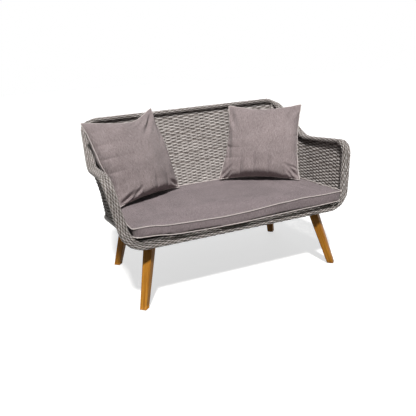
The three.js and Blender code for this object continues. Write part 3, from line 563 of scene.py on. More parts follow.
def seatBends():
    front, corner = spot(*seat["front"]), spot(*seat["corner"])
    plan = [(front, 0), (corner, seat["cornerBend"]), (mirrored(corner), seat["cornerBend"]), (mirrored(front), 0)]
    return bentPath([{"at": at, "radius": bend * mm, "wallUp": up} for at, bend in plan])


def lineOf(bends, closed):
    # The samples of all bends as one line, with its running length
    line = {key: np.concatenate([b[key] for b in bends]) for key in ("at", "across", "out")}
    if closed:
        line = {key: np.concatenate([v[-1:], v]) for key, v in line.items()}
    return {**line, "reach": runOf(line["at"])}


def onLine(line, s, turnRound=True):
    s = np.mod(s, line["reach"][-1]) if turnRound else s
    read = lambda key: sampled(s, line["reach"], line[key])
    return read("at"), unit(read("across")), unit(read("out"))


rimPath, seatPath = rimBends(), seatBends()
rimLine = lineOf(rimPath, True)
rimLength = rimLine["reach"][-1]
stepsEach = bendSteps + 1
midBend = stepsEach // 2
# The run into bend i starts at the last sample of the bend before it
runStart = [rimLine["reach"][i * stepsEach] for i in range(len(rimPath))]
runEnd = [rimLine["reach"][i * stepsEach + 1] for i in range(len(rimPath))]


def rimPlace(run, share):
    return mix(runStart[run], runEnd[run], share)


def postEnds(side, above, under):
    # A corner post's foot and top, by their distances from the middles of the seat tube and the rim
    foot = seatPath[1]["at"][midBend] + up * above * mm
    top = rimPath[3]["at"][midBend] - rimPath[3]["out"][midBend] * under * mm
    return foot * (side, 1, 1), top * (side, 1, 1)


def rodSheet(line, turnRound):
    def at(s, level, lift):
        place, across, out = onLine(line, s, turnRound)
        return place + across * level[:, None] + out * lift[:, None]
    return at


# What strands that don't swing over and under have in common
plainCut = {"relief": 0.0, "pinch": 1.0, "pitch": 1.0}
tubeCut = {**plainCut, "step": 0.012, "sides": 16, "paintedShade": 0.5}


def tubeMesh(name, line, start, end, radius, level=0.0, turnRound=False):
    cut = {**tubeCut, "height": 2 * radius * mm, "thickness": 2 * radius * mm}
    return strandMesh(name, [strandRow(start, end, level * mm)], rodSheet(line, turnRound), cut)


def rodMesh(name, a, b, radius, count=20, chamfer=0.8):
    # A round rod with softened ends, from a to b
    a, b = Vector(a), Vector(b)
    middle = Matrix.Translation((a + b) / 2) @ (b - a).to_track_quat("Z", "Y").to_matrix().to_4x4()
    radii = {"radius1": radius * mm, "radius2": radius * mm}
    bm = bmesh.new()
    bmesh.ops.create_cone(bm, cap_ends=True, segments=count, **radii, depth=(b - a).length, matrix=middle)
    softened(bm, endRings(bm), chamfer * mm)
    return meshFrom(bm, name)


def makeFrame():
    steel = lambda name, mesh, node: addPiece(name, mesh, "powderCoat", "frame", node)
    rightWeld, leftWeld = rimPlace(3, rim["tubeJoint"]), rimPlace(5, 1 - rim["tubeJoint"])
    parts = {"front": (leftWeld - rimLength, rightWeld), "back": (rightWeld, leftWeld)}
    for side, name in ((1, "rim_outer_tube"), (-1, "rim_inner_tube")):
        for part, (start, end) in parts.items():
            tube = tubeMesh(name, rimLine, start, end, rim["tubeRadius"], side * rim["tubeSpacing"] / 2, True)
            steel(f"{name}_{part}_metal", tube, f"{name}_{part}")
    radius, height = seat["tubeRadius"], seat["front"][2]
    frontAt = rim["seatFront"][1] + rim["wrapRadius"] + seat["gap"] + radius
    behindFront, beforeBack = frontAt + radius + seat["gap"], seat["corner"][1] - radius - seat["gap"]
    bentLine, sideRun = lineOf(seatPath, False), 2 * stepsEach
    inside = np.interp(spot(0, behindFront, 0)[1], bentLine["at"][:sideRun, 1], bentLine["reach"][:sideRun])
    bent = tubeMesh("seatTube", bentLine, inside, bentLine["reach"][-1] - inside, radius)
    steel("seat_tube_metal", bent, "seat_frame_tube")
    half = seat["front"][0] + radius / 2
    front = rodMesh("frontTube", spot(-half, frontAt, height), spot(half, frontAt, height), radius)
    steel("front_tube_metal", front, "front_seat_tube")
    for side, name in sides:
        x = side * seat["crossBar"]
        bar = rodMesh("crossBar", spot(x, behindFront, height), spot(x, beforeBack, height), radius)
        steel(f"cross_bar_metal_{name}", bar, f"seat_cross_bar_{name}")
        low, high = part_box(f"back_stay_{name}")
        x, r, inset = (low.x + high.x) / 2, seat["stayRadius"] * mm, seat["stayInset"] * mm
        ends = (x, low.y + r, low.z + inset), (x, high.y - r, high.z - inset)
        steel(f"stay_metal_{name}", rodMesh("stay", *ends, seat["stayRadius"], 12), f"back_stay_{name}")
        post = rodMesh("post", *postEnds(side, radius + seat["gap"], seat["postTuck"]), seat["postRadius"], 24, 0.4)
        steel(f"corner_post_metal_{name}", post, f"corner_post_{name}")


makeFrame()
print("the tubes are made")


# ---- the woven wall

wall = {
    "tuck": 9.4, "footClearance": 1.6, "footAngle": 40, "bendClearance": 1.2,
    "edge": (36, 22), "rise": (62, 16), "rowPitch": 8.35, "firstRow": 4, "lastRow": 500,
    # The gaps at these levels hold thin strands darkened as painted shade
    "paintedShadeLines": (191, 249, 305, 351, 377, 445), "lineGap": 3.6,
    # The arms' weave gets extra painted shade, darker than the back's
    "postBulge": 4.6, "postBulgeWidth": 12.5, "armPaintedShade": 0.22, "reachIn": 5, "shortest": 12, "stakeFoot": 4,
    "reach": 560, "steps": 140, "measureAt": 180, "straightSteps": 12, "backSteps": 24,
    "wrapLift": 1.2, "wrapTuck": 9,
}
wallCut = {
    "step": 0.0074, "sides": 6, "relief": 0.0024, "pinch": 0.86, "flat": 0.9,
    "height": 0.0098, "thickness": 0.0032, "pitch": 0.0296,
}
# Stakes, the thin strands in the gaps and the post wraps get a fixed painted shade that darkens them
stakeCut = {**plainCut, "step": 0.030, "sides": 6, "flat": 0.6, "height": 0.0085, "thickness": 0.0016, "paintedShade": 0.85}
lineCut = {**plainCut, "step": 0.020, "sides": 5, "flat": 0.9, "height": 0.0050, "thickness": 0.0020, "paintedShade": 0.86}
postCut = {**plainCut, "step": 0.0055, "sides": 5, "flat": 0.9, "height": 0.0080, "thickness": 0.0022, "paintedShade": 0.62}


def wallStations():
    # Top under the rim and foot at the seat tube, from the arm's front to the middle of the back
    underRim = lambda bend: bend["at"] - bend["out"] * wall["tuck"] * mm
    straight = lambda a, b: [mix(a, b, k / wall["straightSteps"]) for k in range(1, wall["straightSteps"])]
    armFront, armBend, corner, cornerLeft = (underRim(rimPath[i]) for i in (1, 2, 3, 4))
    tops = [*armFront, *straight(armFront[-1], armBend[0]), *armBend, *straight(armBend[-1], corner[0])]
    tops = np.array(tops)
    share = (tops[:, 1] - tops[0, 1]) / (corner[0, 1] - tops[0, 1])
    bend, bendLeft = seatPath[1], seatPath[2]
    runFrom, runTo = seatPath[0]["at"][-1], bend["at"][0]
    firstAt = spot(0, rim["seatFront"][1] + rim["wrapRadius"] + wall["footClearance"], 0)[1]
    firstFoot = mix(runFrom, runTo, (firstAt - runFrom[1]) / (runTo[1] - runFrom[1]))
    feet = mix(firstFoot, runTo, share[:, None])
    acrosses = np.repeat(bend["across"][:1], len(tops), 0)
    backShare = np.linspace(0, 0.5, wall["backSteps"])[1:, None]
    tops = np.concatenate([tops, corner, mix(corner[-1], cornerLeft[0], backShare)])
    feet = np.concatenate([feet, bend["at"], mix(bend["at"][-1], bendLeft["at"][0], backShare)])
    acrosses = np.concatenate([acrosses, bend["across"], np.repeat(bend["across"][-1:], len(backShare), 0)])
    share = np.concatenate([share, np.ones(len(tops) - len(share))])
    return tops, feet, acrosses, share[:, None]


def wallColumns():
    tops, feet, acrosses, share = wallStations()
    outwards, above = rim["seatFront"][0] - seat["front"][0], rim["seatFront"][2] - seat["front"][2]
    edge = feet + acrosses * mix(outwards, 0, share) * mm
    edge = edge + up * mix(above, 0, share) * mm
    angle = math.radians(wall["footAngle"])
    leaning = acrosses * math.cos(angle) + up * math.sin(angle)
    standing = unit(tops - edge)
    clearance = seat["tubeRadius"] + mix(wall["footClearance"], wall["bendClearance"], share**4)
    foot = feet + unit(mix(leaning, standing, share)) * clearance * mm
    turnPoint = edge + standing * mix(*wall["edge"], share) * mm
    riseStart = turnPoint + standing * mix(*wall["rise"], share) * mm
    curve = np.linspace(0, 1, 25)[:, None, None]
    bend = foot * (1 - curve) ** 2 + turnPoint * 2 * curve * (1 - curve) + riseStart * curve**2
    heights = np.linspace(0, wall["reach"] * mm, wall["steps"])
    grid, lengths = [], []
    for c in range(len(tops)):
        line = np.concatenate([bend[:, c], (riseStart[c] + standing[c] * heights[-1])[None]])
        run = runOf(line)
        grid.append(sampled(heights, run, line))
        lengths.append(run[-2] + np.linalg.norm(tops[c] - riseStart[c]))
    return np.array(grid), np.array(lengths), heights


def sheetFrom(grid, widths, heights, mirror):
    # A function from the place along, the height and the lift to a point of the sheet
    normal = unit(np.cross(np.gradient(grid, axis=0), np.gradient(grid, axis=1)))
    def read(table, u, v):
        i = np.clip(np.searchsorted(widths, u) - 1, 0, len(widths) - 2)
        a = ((u - widths[i]) / (widths[i + 1] - widths[i]))[:, None]
        step = heights[1] - heights[0]
        j = np.clip((v / step).astype(int), 0, len(heights) - 2)
        b = (v / step - j)[:, None]
        low = mix(table[i, j], table[i + 1, j], a)
        return mix(low, mix(table[i, j + 1], table[i + 1, j + 1], a), b)
    def at(u, v, lift):
        place = read(grid, u, v) + unit(read(normal, u, v)) * lift[:, None]
        return mirrored(place) if mirror else place
    return at


def spansUnder(widths, lengths, height):
    # Where the wall is at least that high
    fine = np.linspace(widths[0], widths[-1], 1200)
    tall = np.interp(fine, widths, lengths) + wall["reachIn"] * mm >= height
    edges = np.flatnonzero(np.diff(np.concatenate([[0], tall.astype(int), [0]])))
    spans = [(fine[a], fine[b - 1]) for a, b in zip(edges[::2], edges[1::2])]
    return [(start, end) for start, end in spans if end - start > wall["shortest"] * mm]


def rowLevels():
    # The heights of the rows, and of the thin strands in the gaps between them, which are darkened as painted shade
    rows, thin, level = [], [], wall["firstRow"]
    lines = list(wall["paintedShadeLines"])
    while level < wall["lastRow"]:
        rows.append(level)
        level += wall["rowPitch"]
        if lines and level > lines[0]:
            thin.append(level - wall["rowPitch"] / 2 + wall["lineGap"] / 2)
            level += wall["lineGap"]
            lines.pop(0)
    return rows, thin


def wovenRows(widths, lengths, phase):
    rows, thin = [], []
    levels, thinLevels = rowLevels()
    for number, level in enumerate(levels):
        for start, end in spansUnder(widths, lengths, level * mm):
            rows.append(strandRow(start, end, level * mm, 1 if number % 2 else -1, phase, chance.random()))
    for level in thinLevels:
        for start, end in spansUnder(widths, lengths, level * mm):
            thin.append(strandRow(start, end, level * mm, tone=chance.random()))
    return rows, thin


def stakesAt(places, widths, lengths):
    foot = wall["stakeFoot"] * mm
    return [strandRow(foot, float(np.interp(u, widths, lengths)), u, tone=chance.random()) for u in places]


def wallMesh(rows, thin, stakes, sheetAt, cut):
    upright = lambda v, u, lift: sheetAt(u, v, lift)
    return joinedMesh(
        "wall", strandMesh("rows", rows, sheetAt, cut), strandMesh("lines", thin, sheetAt, lineCut),
        strandMesh("stakes", stakes, upright, stakeCut),
    )


def makeWall():
    grid, lengths, heights = wallColumns()
    middle = int(wall["measureAt"] / wall["reach"] * len(heights))
    widths = runOf(grid[:, middle])
    post = len(grid) - (wall["backSteps"] - 1) - stepsEach + midBend
    postAt, bulgeWidth = widths[post], wall["postBulgeWidth"] * mm
    bulgeAt = lambda gap: 1 + wall["postBulge"] * np.exp(-((gap / bulgeWidth) ** 2))
    # The arms
    count, armWidths = int(postAt / wallCut["pitch"]), widths[: post + 1]
    # The arms' weave gets extra painted shade, darker than the back's
    cut = {**wallCut, "bulge": lambda u: bulgeAt(u - postAt), "paintedShadeShift": wall["armPaintedShade"]}
    for side, name in sides:
        sheetAt = sheetFrom(grid[: post + 1], armWidths, heights, side < 0)
        rows, thin = wovenRows(armWidths, lengths[: post + 1], postAt)
        stakes = stakesAt([postAt - k * wallCut["pitch"] for k in range(1, count + 1)], widths, lengths)
        woven = wallMesh(rows, thin, stakes, sheetAt, cut)
        addPiece(f"arm_weave_{name}", woven, "wicker", "wicker", f"arm_panel_{name}")
    # The back, from post to post
    half = grid[post:]
    whole = np.concatenate([half, mirrored(half[:-1])[::-1]])
    length = np.concatenate([lengths[post:], lengths[post:-1][::-1]])
    width = runOf(whole[:, middle])
    count = 2 * round(width[-1] / wallCut["pitch"] / 2)
    pitch = width[-1] / count
    cut = {**wallCut, "pitch": pitch, "bulge": lambda u: bulgeAt(np.minimum(u, width[-1] - u))}
    rows, thin = wovenRows(width, length, 0)
    stakes = stakesAt([k * pitch for k in range(1, count)], width, length)
    woven = wallMesh(rows, thin, stakes, sheetFrom(whole, width, heights, False), cut)
    addPiece("back_weave", woven, "wicker", "wicker", "back_panel")


def wrapPosts():
    # A strand wound round each corner post, under the rows that pass it
    radius, pitch = (seat["postRadius"] + wall["wrapLift"]) * mm, wall["rowPitch"] * mm
    for side, name in sides:
        foot, top = postEnds(side, seat["tubeRadius"], wall["wrapTuck"])
        length = np.linalg.norm(top - foot)
        axis = unit(top - foot)
        sideways = unit(np.cross(axis, (0, 1, 0)))
        inwards = np.cross(axis, sideways)
        total = length / pitch * 2 * math.pi * radius
        def sheetAt(s, level, lift):
            turn = (s / radius)[:, None]
            out = sideways * np.cos(turn) + inwards * np.sin(turn)
            return foot + axis * (s / total * length + level)[:, None] + out * (radius + lift)[:, None]
        wound = strandMesh("postWrap", [strandRow(0, total, 0, tone=0.3)], sheetAt, postCut)
        addPiece(f"post_weave_{name}", wound, "wicker", "wicker")


makeWall()
wrapPosts()
print("the woven wall is made")


# ---- the woven rim

rimWeave = {"rows": 18, "period": 30, "turns": 5, "layer": 9.6, "waist": 12.0}
# The rim's strands get deeper painted shade where they dip
rimCut = {
    "step": 0.0050, "sides": 5, "relief": 0.0015, "pinch": 0.60, "flat": 0.9,
    "height": 0.0070, "thickness": 0.0024, "paintedShadeDepth": 1.25,
}


def rimSection():
    # Figure eight round two tubes, as places and outward directions by running length
    radius, half = rimWeave["layer"], rim["tubeSpacing"] / 2
    lobe = math.pi - math.asin(rimWeave["waist"] / 2 / radius)
    turn = np.linspace(-lobe, lobe, 80)
    right = np.stack([half + radius * np.cos(turn), radius * np.sin(turn)], 1)
    outline = np.concatenate([right, -right, right[:1]])
    run = runOf(outline)
    even = np.linspace(0, run[-1], 241)
    ring = sampled(even, run, outline)[:-1]
    for _ in range(3):
        ring = (np.roll(ring, 1, 0) + 2 * ring + np.roll(ring, -1, 0)) / 4
    tangent = unit(np.roll(ring, -2, 0) - np.roll(ring, 2, 0))
    ring, tangent = (np.concatenate([v, v[:1]]) for v in (ring, tangent))
    return even * mm, ring * mm, np.stack([tangent[:, 1], -tangent[:, 0]], 1)


def makeRim():
    even, outline, facing = rimSection()
    girth = even[-1]
    def sheetAt(s, q, lift):
        place, across, out = onLine(rimLine, s)
        q = np.mod(q, girth)
        turned = lambda pair: across * pair[:, :1] + out * pair[:, 1:]
        return place + turned(sampled(q, even, outline)) + turned(sampled(q, even, facing)) * lift[:, None]
    periods = round(rimLength / mm / rimWeave["period"])
    cut = {**rimCut, "pitch": rimLength / periods / 2, "slant": rimWeave["turns"] * girth / rimLength}
    right, left = rimPlace(1, rim["wrapJoint"]), rimPlace(7, 1 - rim["wrapJoint"])
    slopeRight, slopeLeft = rimPlace(3, rim["slopeJoint"]), rimPlace(5, 1 - rim["slopeJoint"])
    plan = {
        "front_rail_wrap": (left - rimLength, right), "arm_rim_wrap_right": (right, slopeRight),
        "back_rail_wrap": (slopeRight, slopeLeft), "arm_rim_wrap_left": (slopeLeft, left),
    }
    tones = chance.random(rimWeave["rows"])
    for node, (start, end) in plan.items():
        rows = []
        for k, tone in enumerate(tones):
            rows.append(strandRow(start, end, k * girth / rimWeave["rows"], 1 if k % 2 else -1, 0, tone))
        woven = strandMesh("rimWeave", rows, sheetAt, cut)
        addPiece(node.replace("wrap", "weave"), woven, "wicker", "wicker", node)


makeRim()
print("the woven rim is made")


# ---- deck and legs

deck = {
    "pitch": 33, "gap": 1.8, "thickness": 1.8, "relief": 1.3, "inset": (-8, 4), "front": -313, "rear": 251,
    "straps": 16, "shortest": 20,
}


def deckHalfWidth(y):
    sideLean = (seat["corner"][0] - seat["front"][0]) / (seat["corner"][1] - seat["front"][1])
    centre = seat["corner"][1] - seat["cornerBend"]
    inset = np.interp(y, (seat["front"][1], centre), deck["inset"])
    straight = seat["front"][0] + sideLean * (y - seat["front"][1]) - inset
    bendRadius = seat["cornerBend"] - inset
    reach = np.maximum(0, y - centre)
    bent = seatPath[1]["at"][0][0] / mm - seat["cornerBend"] + np.sqrt(np.maximum(0, bendRadius**2 - reach**2))
    return np.where(y < centre, straight, bent)


def makeDeck():
    low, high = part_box("seat_deck")
    flat = lambda x, y, lift: np.stack([x, y, (low.z + high.z) / 2 + lift], 1)
    frontY, rearY = deck["front"], deck["rear"]
    count = round((rearY - frontY) / deck["pitch"])
    pitch = (rearY - frontY) / count
    strap = pitch - deck["gap"]
    cut = {
        "step": pitch / 4 * mm, "sides": 8, "pinch": 1.0, "flat": 0.35, "pitch": pitch * mm,
        "height": strap * mm, "thickness": deck["thickness"] * mm, "relief": deck["relief"] * mm,
    }
    placeOf = lambda y: spot(0, y, 0)[1]
    phase = placeOf(rearY - pitch / 2)
    across, along = [], []
    for k in range(count):
        y = rearY - pitch * (k + 0.5)
        half = float(deckHalfWidth(min(y + strap / 2, rearY))) * mm
        across.append(strandRow(-half, half, placeOf(y), 1 if k % 2 else -1, 0, chance.random()))
    depths = np.linspace(frontY + 1, rearY, 200)
    widths = deckHalfWidth(depths)
    for k in range(-deck["straps"], deck["straps"] + 1):
        inside = depths[widths > abs(k * pitch) + strap / 2]
        if len(inside) > deck["shortest"]:
            start, end = placeOf(inside[0]), placeOf(inside[-1])
            along.append(strandRow(start, end, k * pitch * mm, -1 if k % 2 else 1, phase, chance.random()))
    straps = [
        strandMesh("deckAcross", across, flat, cut),
        strandMesh("deckAlong", along, lambda y, x, lift: flat(x, y, lift), cut),
    ]
    addPiece("deck_straps", joinedMesh("deck", *straps), "deckStrap", "deck_weave", "seat_deck")


legs = {
    "front": {"foot": (516, -294), "lean": (-0.25, 0.2)},
    "rear": {"foot": (490, 300), "lean": (-0.21, -0.25)},
    "topSide": 46, "footSide": 34, "edgeRound": 6, "footRound": 1.1, "footHeight": 3.3,
    "grainShift": (0.31, 0.17, 0.23),
    "plateSide": 52, "plateRound": 8, "plateEdge": 0.6, "railSetIn": 27, "railEdge": 1.2,
}
cornerFirst = Matrix.Rotation(math.radians(45), 3, "Z")


def roundedCube(roundness):
    # A cube of 1 with round upright edges
    bm = bmesh.new()
    bmesh.ops.create_cube(bm, size=1)
    softened(bm, uprights(bm), roundness, 5)
    return bm


def legMesh(name, plan, top, side):
    # A tapered square with rounded edges, set corner first and leaning
    bm = roundedCube(legs["edgeRound"] / legs["topSide"])
    bmesh.ops.subdivide_edges(bm, edges=uprights(bm), cuts=11, use_grid_fill=True)
    bmesh.ops.rotate(bm, verts=bm.verts, matrix=cornerFirst)
    for v in bm.verts:
        share = v.co.z + 0.5
        height = mix(legs["footHeight"], top, share)
        width = mix(legs["footSide"], legs["topSide"], share)
        x = plan["foot"][0] + plan["lean"][0] * height + v.co.x * width
        y = plan["foot"][1] + plan["lean"][1] * height + v.co.y * width
        v.co = spot(side * x, y, height)
    softened(bm, endRings(bm), legs["footRound"] * mm)
    bmesh.ops.recalc_face_normals(bm, faces=bm.faces)
    mesh = meshFrom(bm, name)
    co = places(mesh)
    lean = co[:, 2:] * (side * plan["lean"][0], plan["lean"][1], 0)
    setPattern(mesh, "grain", co - lean + side * np.array(legs["grainShift"]))
    return mesh


def railMesh(name, low, high):
    # A steel box rail with softened edges
    low = low + Vector((0, legs["railSetIn"] * mm, 0))
    bm = bmesh.new()
    bmesh.ops.create_cube(bm, size=1)
    bmesh.ops.scale(bm, verts=bm.verts, vec=high - low)
    bmesh.ops.translate(bm, verts=bm.verts, vec=(low + high) / 2)
    softened(bm, bm.edges, legs["railEdge"] * mm, 3)
    return meshFrom(bm, name)


def plateMesh(name, low, high):
    # A steel plate with round corners, turned the way the leg is
    side = legs["plateSide"] * mm
    bm = roundedCube(legs["plateRound"] / legs["plateSide"])
    bmesh.ops.scale(bm, verts=bm.verts, vec=(side, side, high.z - low.z))
    bmesh.ops.rotate(bm, verts=bm.verts, matrix=cornerFirst)
    bmesh.ops.translate(bm, verts=bm.verts, vec=(low + high) / 2)
    softened(bm, endRings(bm), legs["plateEdge"] * mm)
    return meshFrom(bm, name)


def makeLegs():
    for end in ("front", "rear"):
        for side, name in sides:
            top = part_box(f"{end}_leg_{name}")[1].z / mm
            leg = legMesh("leg", legs[end], top, side)
            addPiece(f"{end}_wooden_leg_{name}", leg, "oiledWood", "wood", f"{end}_leg_{name}")
            plate = plateMesh("plate", *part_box(f"{end}_leg_plate_{name}"))
            addPiece(f"{end}_plate_{name}", plate, "powderCoat", "frame", f"{end}_leg_plate_{name}")
    for side, name in sides:
        rail = railMesh("legRail", *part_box(f"leg_rail_{name}"))
        addPiece(f"leg_rail_metal_{name}", rail, "powderCoat", "frame", f"leg_rail_{name}")


makeDeck()
makeLegs()
print("deck and legs are made")


# ---- cushions

def reshaped(piece, kind, **settings):
    # The mesh of a piece with a modifier taken in
    tuned(piece.modifiers.new("shape", kind), **settings)
    graph = bpy.context.evaluated_depsgraph_get()
    mesh = bpy.data.meshes.new_from_object(piece.evaluated_get(graph))
    piece.modifiers.clear()
    old = piece.data
    piece.data = mesh
    bpy.data.meshes.remove(old)
    return mesh


def swell(piece, air, held=None):
    # Blows a cover up between its seams, and limits how far each point moves
    mesh = piece.data
    cloth = piece.modifiers.new("swell", "CLOTH")
    tuned(cloth.settings, mass=0.3, use_pressure=True, **air["cloth"])
    cloth.settings.effector_weights.gravity = 0
    cloth.collision_settings.use_collision = False
    tuned(cloth.point_cache, frame_start=1, frame_end=air["frames"])
    if held is not None:
        group = piece.vertex_groups.new(name="seams")
        for index in np.flatnonzero(held > 0):
            group.add([int(index)], float(held[index]), "REPLACE")
        cloth.settings.vertex_group_mass = "seams"
    for number in range(1, air["frames"] + 1):
        scene.frame_set(number)
    blown = piece.evaluated_get(bpy.context.evaluated_depsgraph_get())
    after = places(blown.to_mesh())
    blown.to_mesh_clear()
    piece.modifiers.clear()
    piece.vertex_groups.clear()
    scene.frame_set(1)
    before = places(mesh)
    move = after - before
    far = np.linalg.norm(move, axis=1, keepdims=True)
    setPlaces(mesh, before + move * np.minimum(1, air["cap"] * mm / np.maximum(far, 1e-9)))


def smoothed(mesh, rounds):
    bm = bmesh.new()
    bm.from_mesh(mesh)
    for _ in range(rounds):
        bmesh.ops.smooth_vert(bm, verts=bm.verts, factor=0.5, use_axis_x=True, use_axis_y=True, use_axis_z=True)
    bm.to_mesh(mesh)
    bm.free()


def rolledMesh(name, rows, columns, shape):
    # A grid rolled up into a closed form: shape takes the shares down and round
    bm = bmesh.new()
    middle = Matrix.Translation((0.5, 0.5, 0))
    bmesh.ops.create_grid(bm, x_segments=columns, y_segments=rows, size=0.5, matrix=middle)
    mesh = meshFrom(bm, name)
    co = places(mesh)
    setPlaces(mesh, shape(np.clip(co[:, 1], 0, 1), np.clip(co[:, 0], 0, 1)))
    return closedMesh(name, mesh, columns)


def nearestOn(points, loop, chunk=4000):
    # Distance from each point to a closed line, and where along it
    best = np.zeros(len(points))
    where = np.zeros(len(points), int)
    for start in range(0, len(points), chunk):
        part = points[start:start + chunk]
        gap = np.linalg.norm(part[:, None] - loop[None], axis=2)
        where[start:start + chunk] = gap.argmin(1)
        best[start:start + chunk] = gap.min(1)
    return best, where


def pipingMesh(name, loop, facing, radius):
    # A cord along a closed line
    tangent = unit(np.roll(loop, -1, 0) - np.roll(loop, 1, 0))
    loop, tangent = (np.concatenate([v, v[:1]]) for v in (loop, tangent))
    run = runOf(loop)
    across = squareTo(np.broadcast_to(facing, tangent.shape), tangent)
    line = {"at": loop, "across": across, "out": unit(np.cross(across, tangent)), "reach": run}
    cut = {**tubeCut, "step": 0.005, "sides": 10, "height": 2 * radius, "thickness": 2 * radius}
    mesh = strandMesh(name, [strandRow(0, run[-1], 0)], rodSheet(line, True), cut)
    co = places(mesh)
    _, where = nearestOn(co, loop[:-1])
    place = run[where]
    setPattern(mesh, "cloth", np.stack([place, 0 * place, place + co[:, 2] * 2], 1))
    return mesh


seatCushion = {
    "half": 546, "front": -348, "back": 258, "middle": -40, "frontCorner": 14, "rearCorner": 78, "backTaper": 30,
    "bottom": 353, "top": 402, "sideTaper": 9, "endTaper": -4, "bottomCorner": 26, "crown": 5, "belly": 5,
    "piping": 2.4, "voxel": 8.5, "topShare": 0.44, "bandShare": 0.12, "waveReach": 70, "aboveDeck": 0.5,
    # The grid that the cover starts from, which is rolled up down and around
    "down": 60, "around": 520,
    "air": {
        "frames": 20, "cap": 4,
        "cloth": {
            "quality": 4, "tension_stiffness": 12, "compression_stiffness": 12, "shear_stiffness": 6,
            "bending_stiffness": 0.35, "uniform_pressure_force": 3.2,
        },
    },
    # How firmly the seams hold the cover, and the reach of that in mm
    "held": (1.4, 10), "pull": (1.6, 4.5), "cornerPull": (2.2, 8), "cornerShare": 0.9,
    "cornerSize": 34, "cornerAt": 378,
    "streaks": {"from": -20, "to": 250, "pitch": 21, "depth": 3.6, "within": 16, "wander": (1.7, 31)},
}
# Where the front seams run up and down, by place across
topWave = (
    (-540, 10), (-463, 11), (-395, -1), (-228, -9), (-103, -14), (27, -11), (189, -1), (245, -1), (301, 4),
    (417, -1), (540, 0),
)
bottomWave = (
    (-540, 18), (-482, 14), (-433, 13), (-362, 0), (-232, -5), (-106, -8), (0, -8), (204, -4), (417, -1), (520, 2),
)


def cushionLoop(taper):
    # The top seam for a taper of 0, the bottom seam for 1
    half = seatCushion["half"] - taper * seatCushion["sideTaper"]
    front = seatCushion["front"] + taper * seatCushion["endTaper"]
    back = seatCushion["back"] - taper * seatCushion["endTaper"]
    backHalf = half - seatCushion["backTaper"]
    frontRound = mix(seatCushion["frontCorner"], seatCushion["bottomCorner"], taper)
    rearRound = seatCushion["rearCorner"]
    corners = [
        (half - frontRound, front + frontRound, frontRound), (backHalf - rearRound, back - rearRound, rearRound),
    ]
    corners += [(-x, y, r) for x, y, r in reversed(corners)]
    line = []
    for k, (x, y, r) in enumerate(corners):
        for turn in (k - 1) * math.pi / 2 + np.linspace(0, math.pi / 2, 14):
            line.append((x + r * math.cos(turn), y + r * math.sin(turn)))
    line = np.array(line + line[:1])
    run = runOf(line)
    x, y = sampled(np.linspace(0, run[-1], seatCushion["around"] + 1), run, line).T
    # The wave's corners are rounded by a running mean
    fine = np.linspace(-560, 560, 113)
    rough = np.interp(fine, *zip(*(bottomWave if taper else topWave)))
    soft = np.convolve(np.pad(rough, 3, mode="edge"), np.ones(7) / 7, "valid")
    near = np.exp(-(np.maximum(0, y - front) / seatCushion["waveReach"]) ** 2)
    level = mix(seatCushion["top"], seatCushion["bottom"], taper)
    return np.stack([x, y + setBack, level + np.interp(x, fine, soft) * near], 1) * mm


def grip(gap, firmness, reach):
    return np.clip(firmness - gap / (reach * mm), 0, 1)


def seatShape(topSeam, bottomSeam):
    middleTop = spot(0, seatCushion["middle"], seatCushion["top"] + seatCushion["crown"])
    middleLow = spot(0, seatCushion["middle"], seatCushion["bottom"] - seatCushion["belly"])
    topEnd, bandEnd = seatCushion["topShare"], seatCushion["topShare"] + seatCushion["bandShare"]
    def shape(down, around):
        # Down: the top from its middle to the seam, the band, and the bottom back to its middle
        along = around * (len(topSeam) - 1)
        top, low = (sampled(along, range(len(seam)), seam) for seam in (topSeam, bottomSeam))
        down = down[:, None]
        onTop = np.clip(down / topEnd, 0, 1)
        onBand = np.clip((down - topEnd) / seatCushion["bandShare"], 0, 1)
        onBottom = np.clip((down - bandEnd) / seatCushion["topShare"], 0, 1)
        upper, lower = mix(middleTop, top, onTop), mix(low, middleLow, onBottom)
        upper[:, 2] = mix(middleTop[2], top[:, 2], (onTop**4)[:, 0])
        lower[:, 2] = mix(middleLow[2], low[:, 2], ((1 - onBottom) ** 5)[:, 0])
        return np.where(down < topEnd, upper, np.where(down < bandEnd, mix(top, low, onBand), lower))
    return shape


def pucker(co):
    # Upright puckers in the front band, to the right of its middle
    streaks, place = seatCushion["streaks"], co[:, 0] / mm
    low, high = seatCushion["bottom"], seatCushion["top"]
    share = np.clip((place - streaks["from"]) / (streaks["to"] - streaks["from"]), 0, 1)
    onBand = np.sin(math.pi * np.clip((co[:, 2] / mm - low) / (high - low), 0, 1))
    onBand = onBand * (co[:, 1] < spot(0, seatCushion["front"] + streaks["within"], 0)[1])
    shift, pitch = streaks["wander"]
    turn = place / streaks["pitch"] * 2 * math.pi + shift * np.sin(place / pitch)
    co[:, 1] += streaks["depth"] * mm * np.sin(math.pi * share) ** 0.7 * onBand * np.maximum(0, np.sin(turn)) ** 2


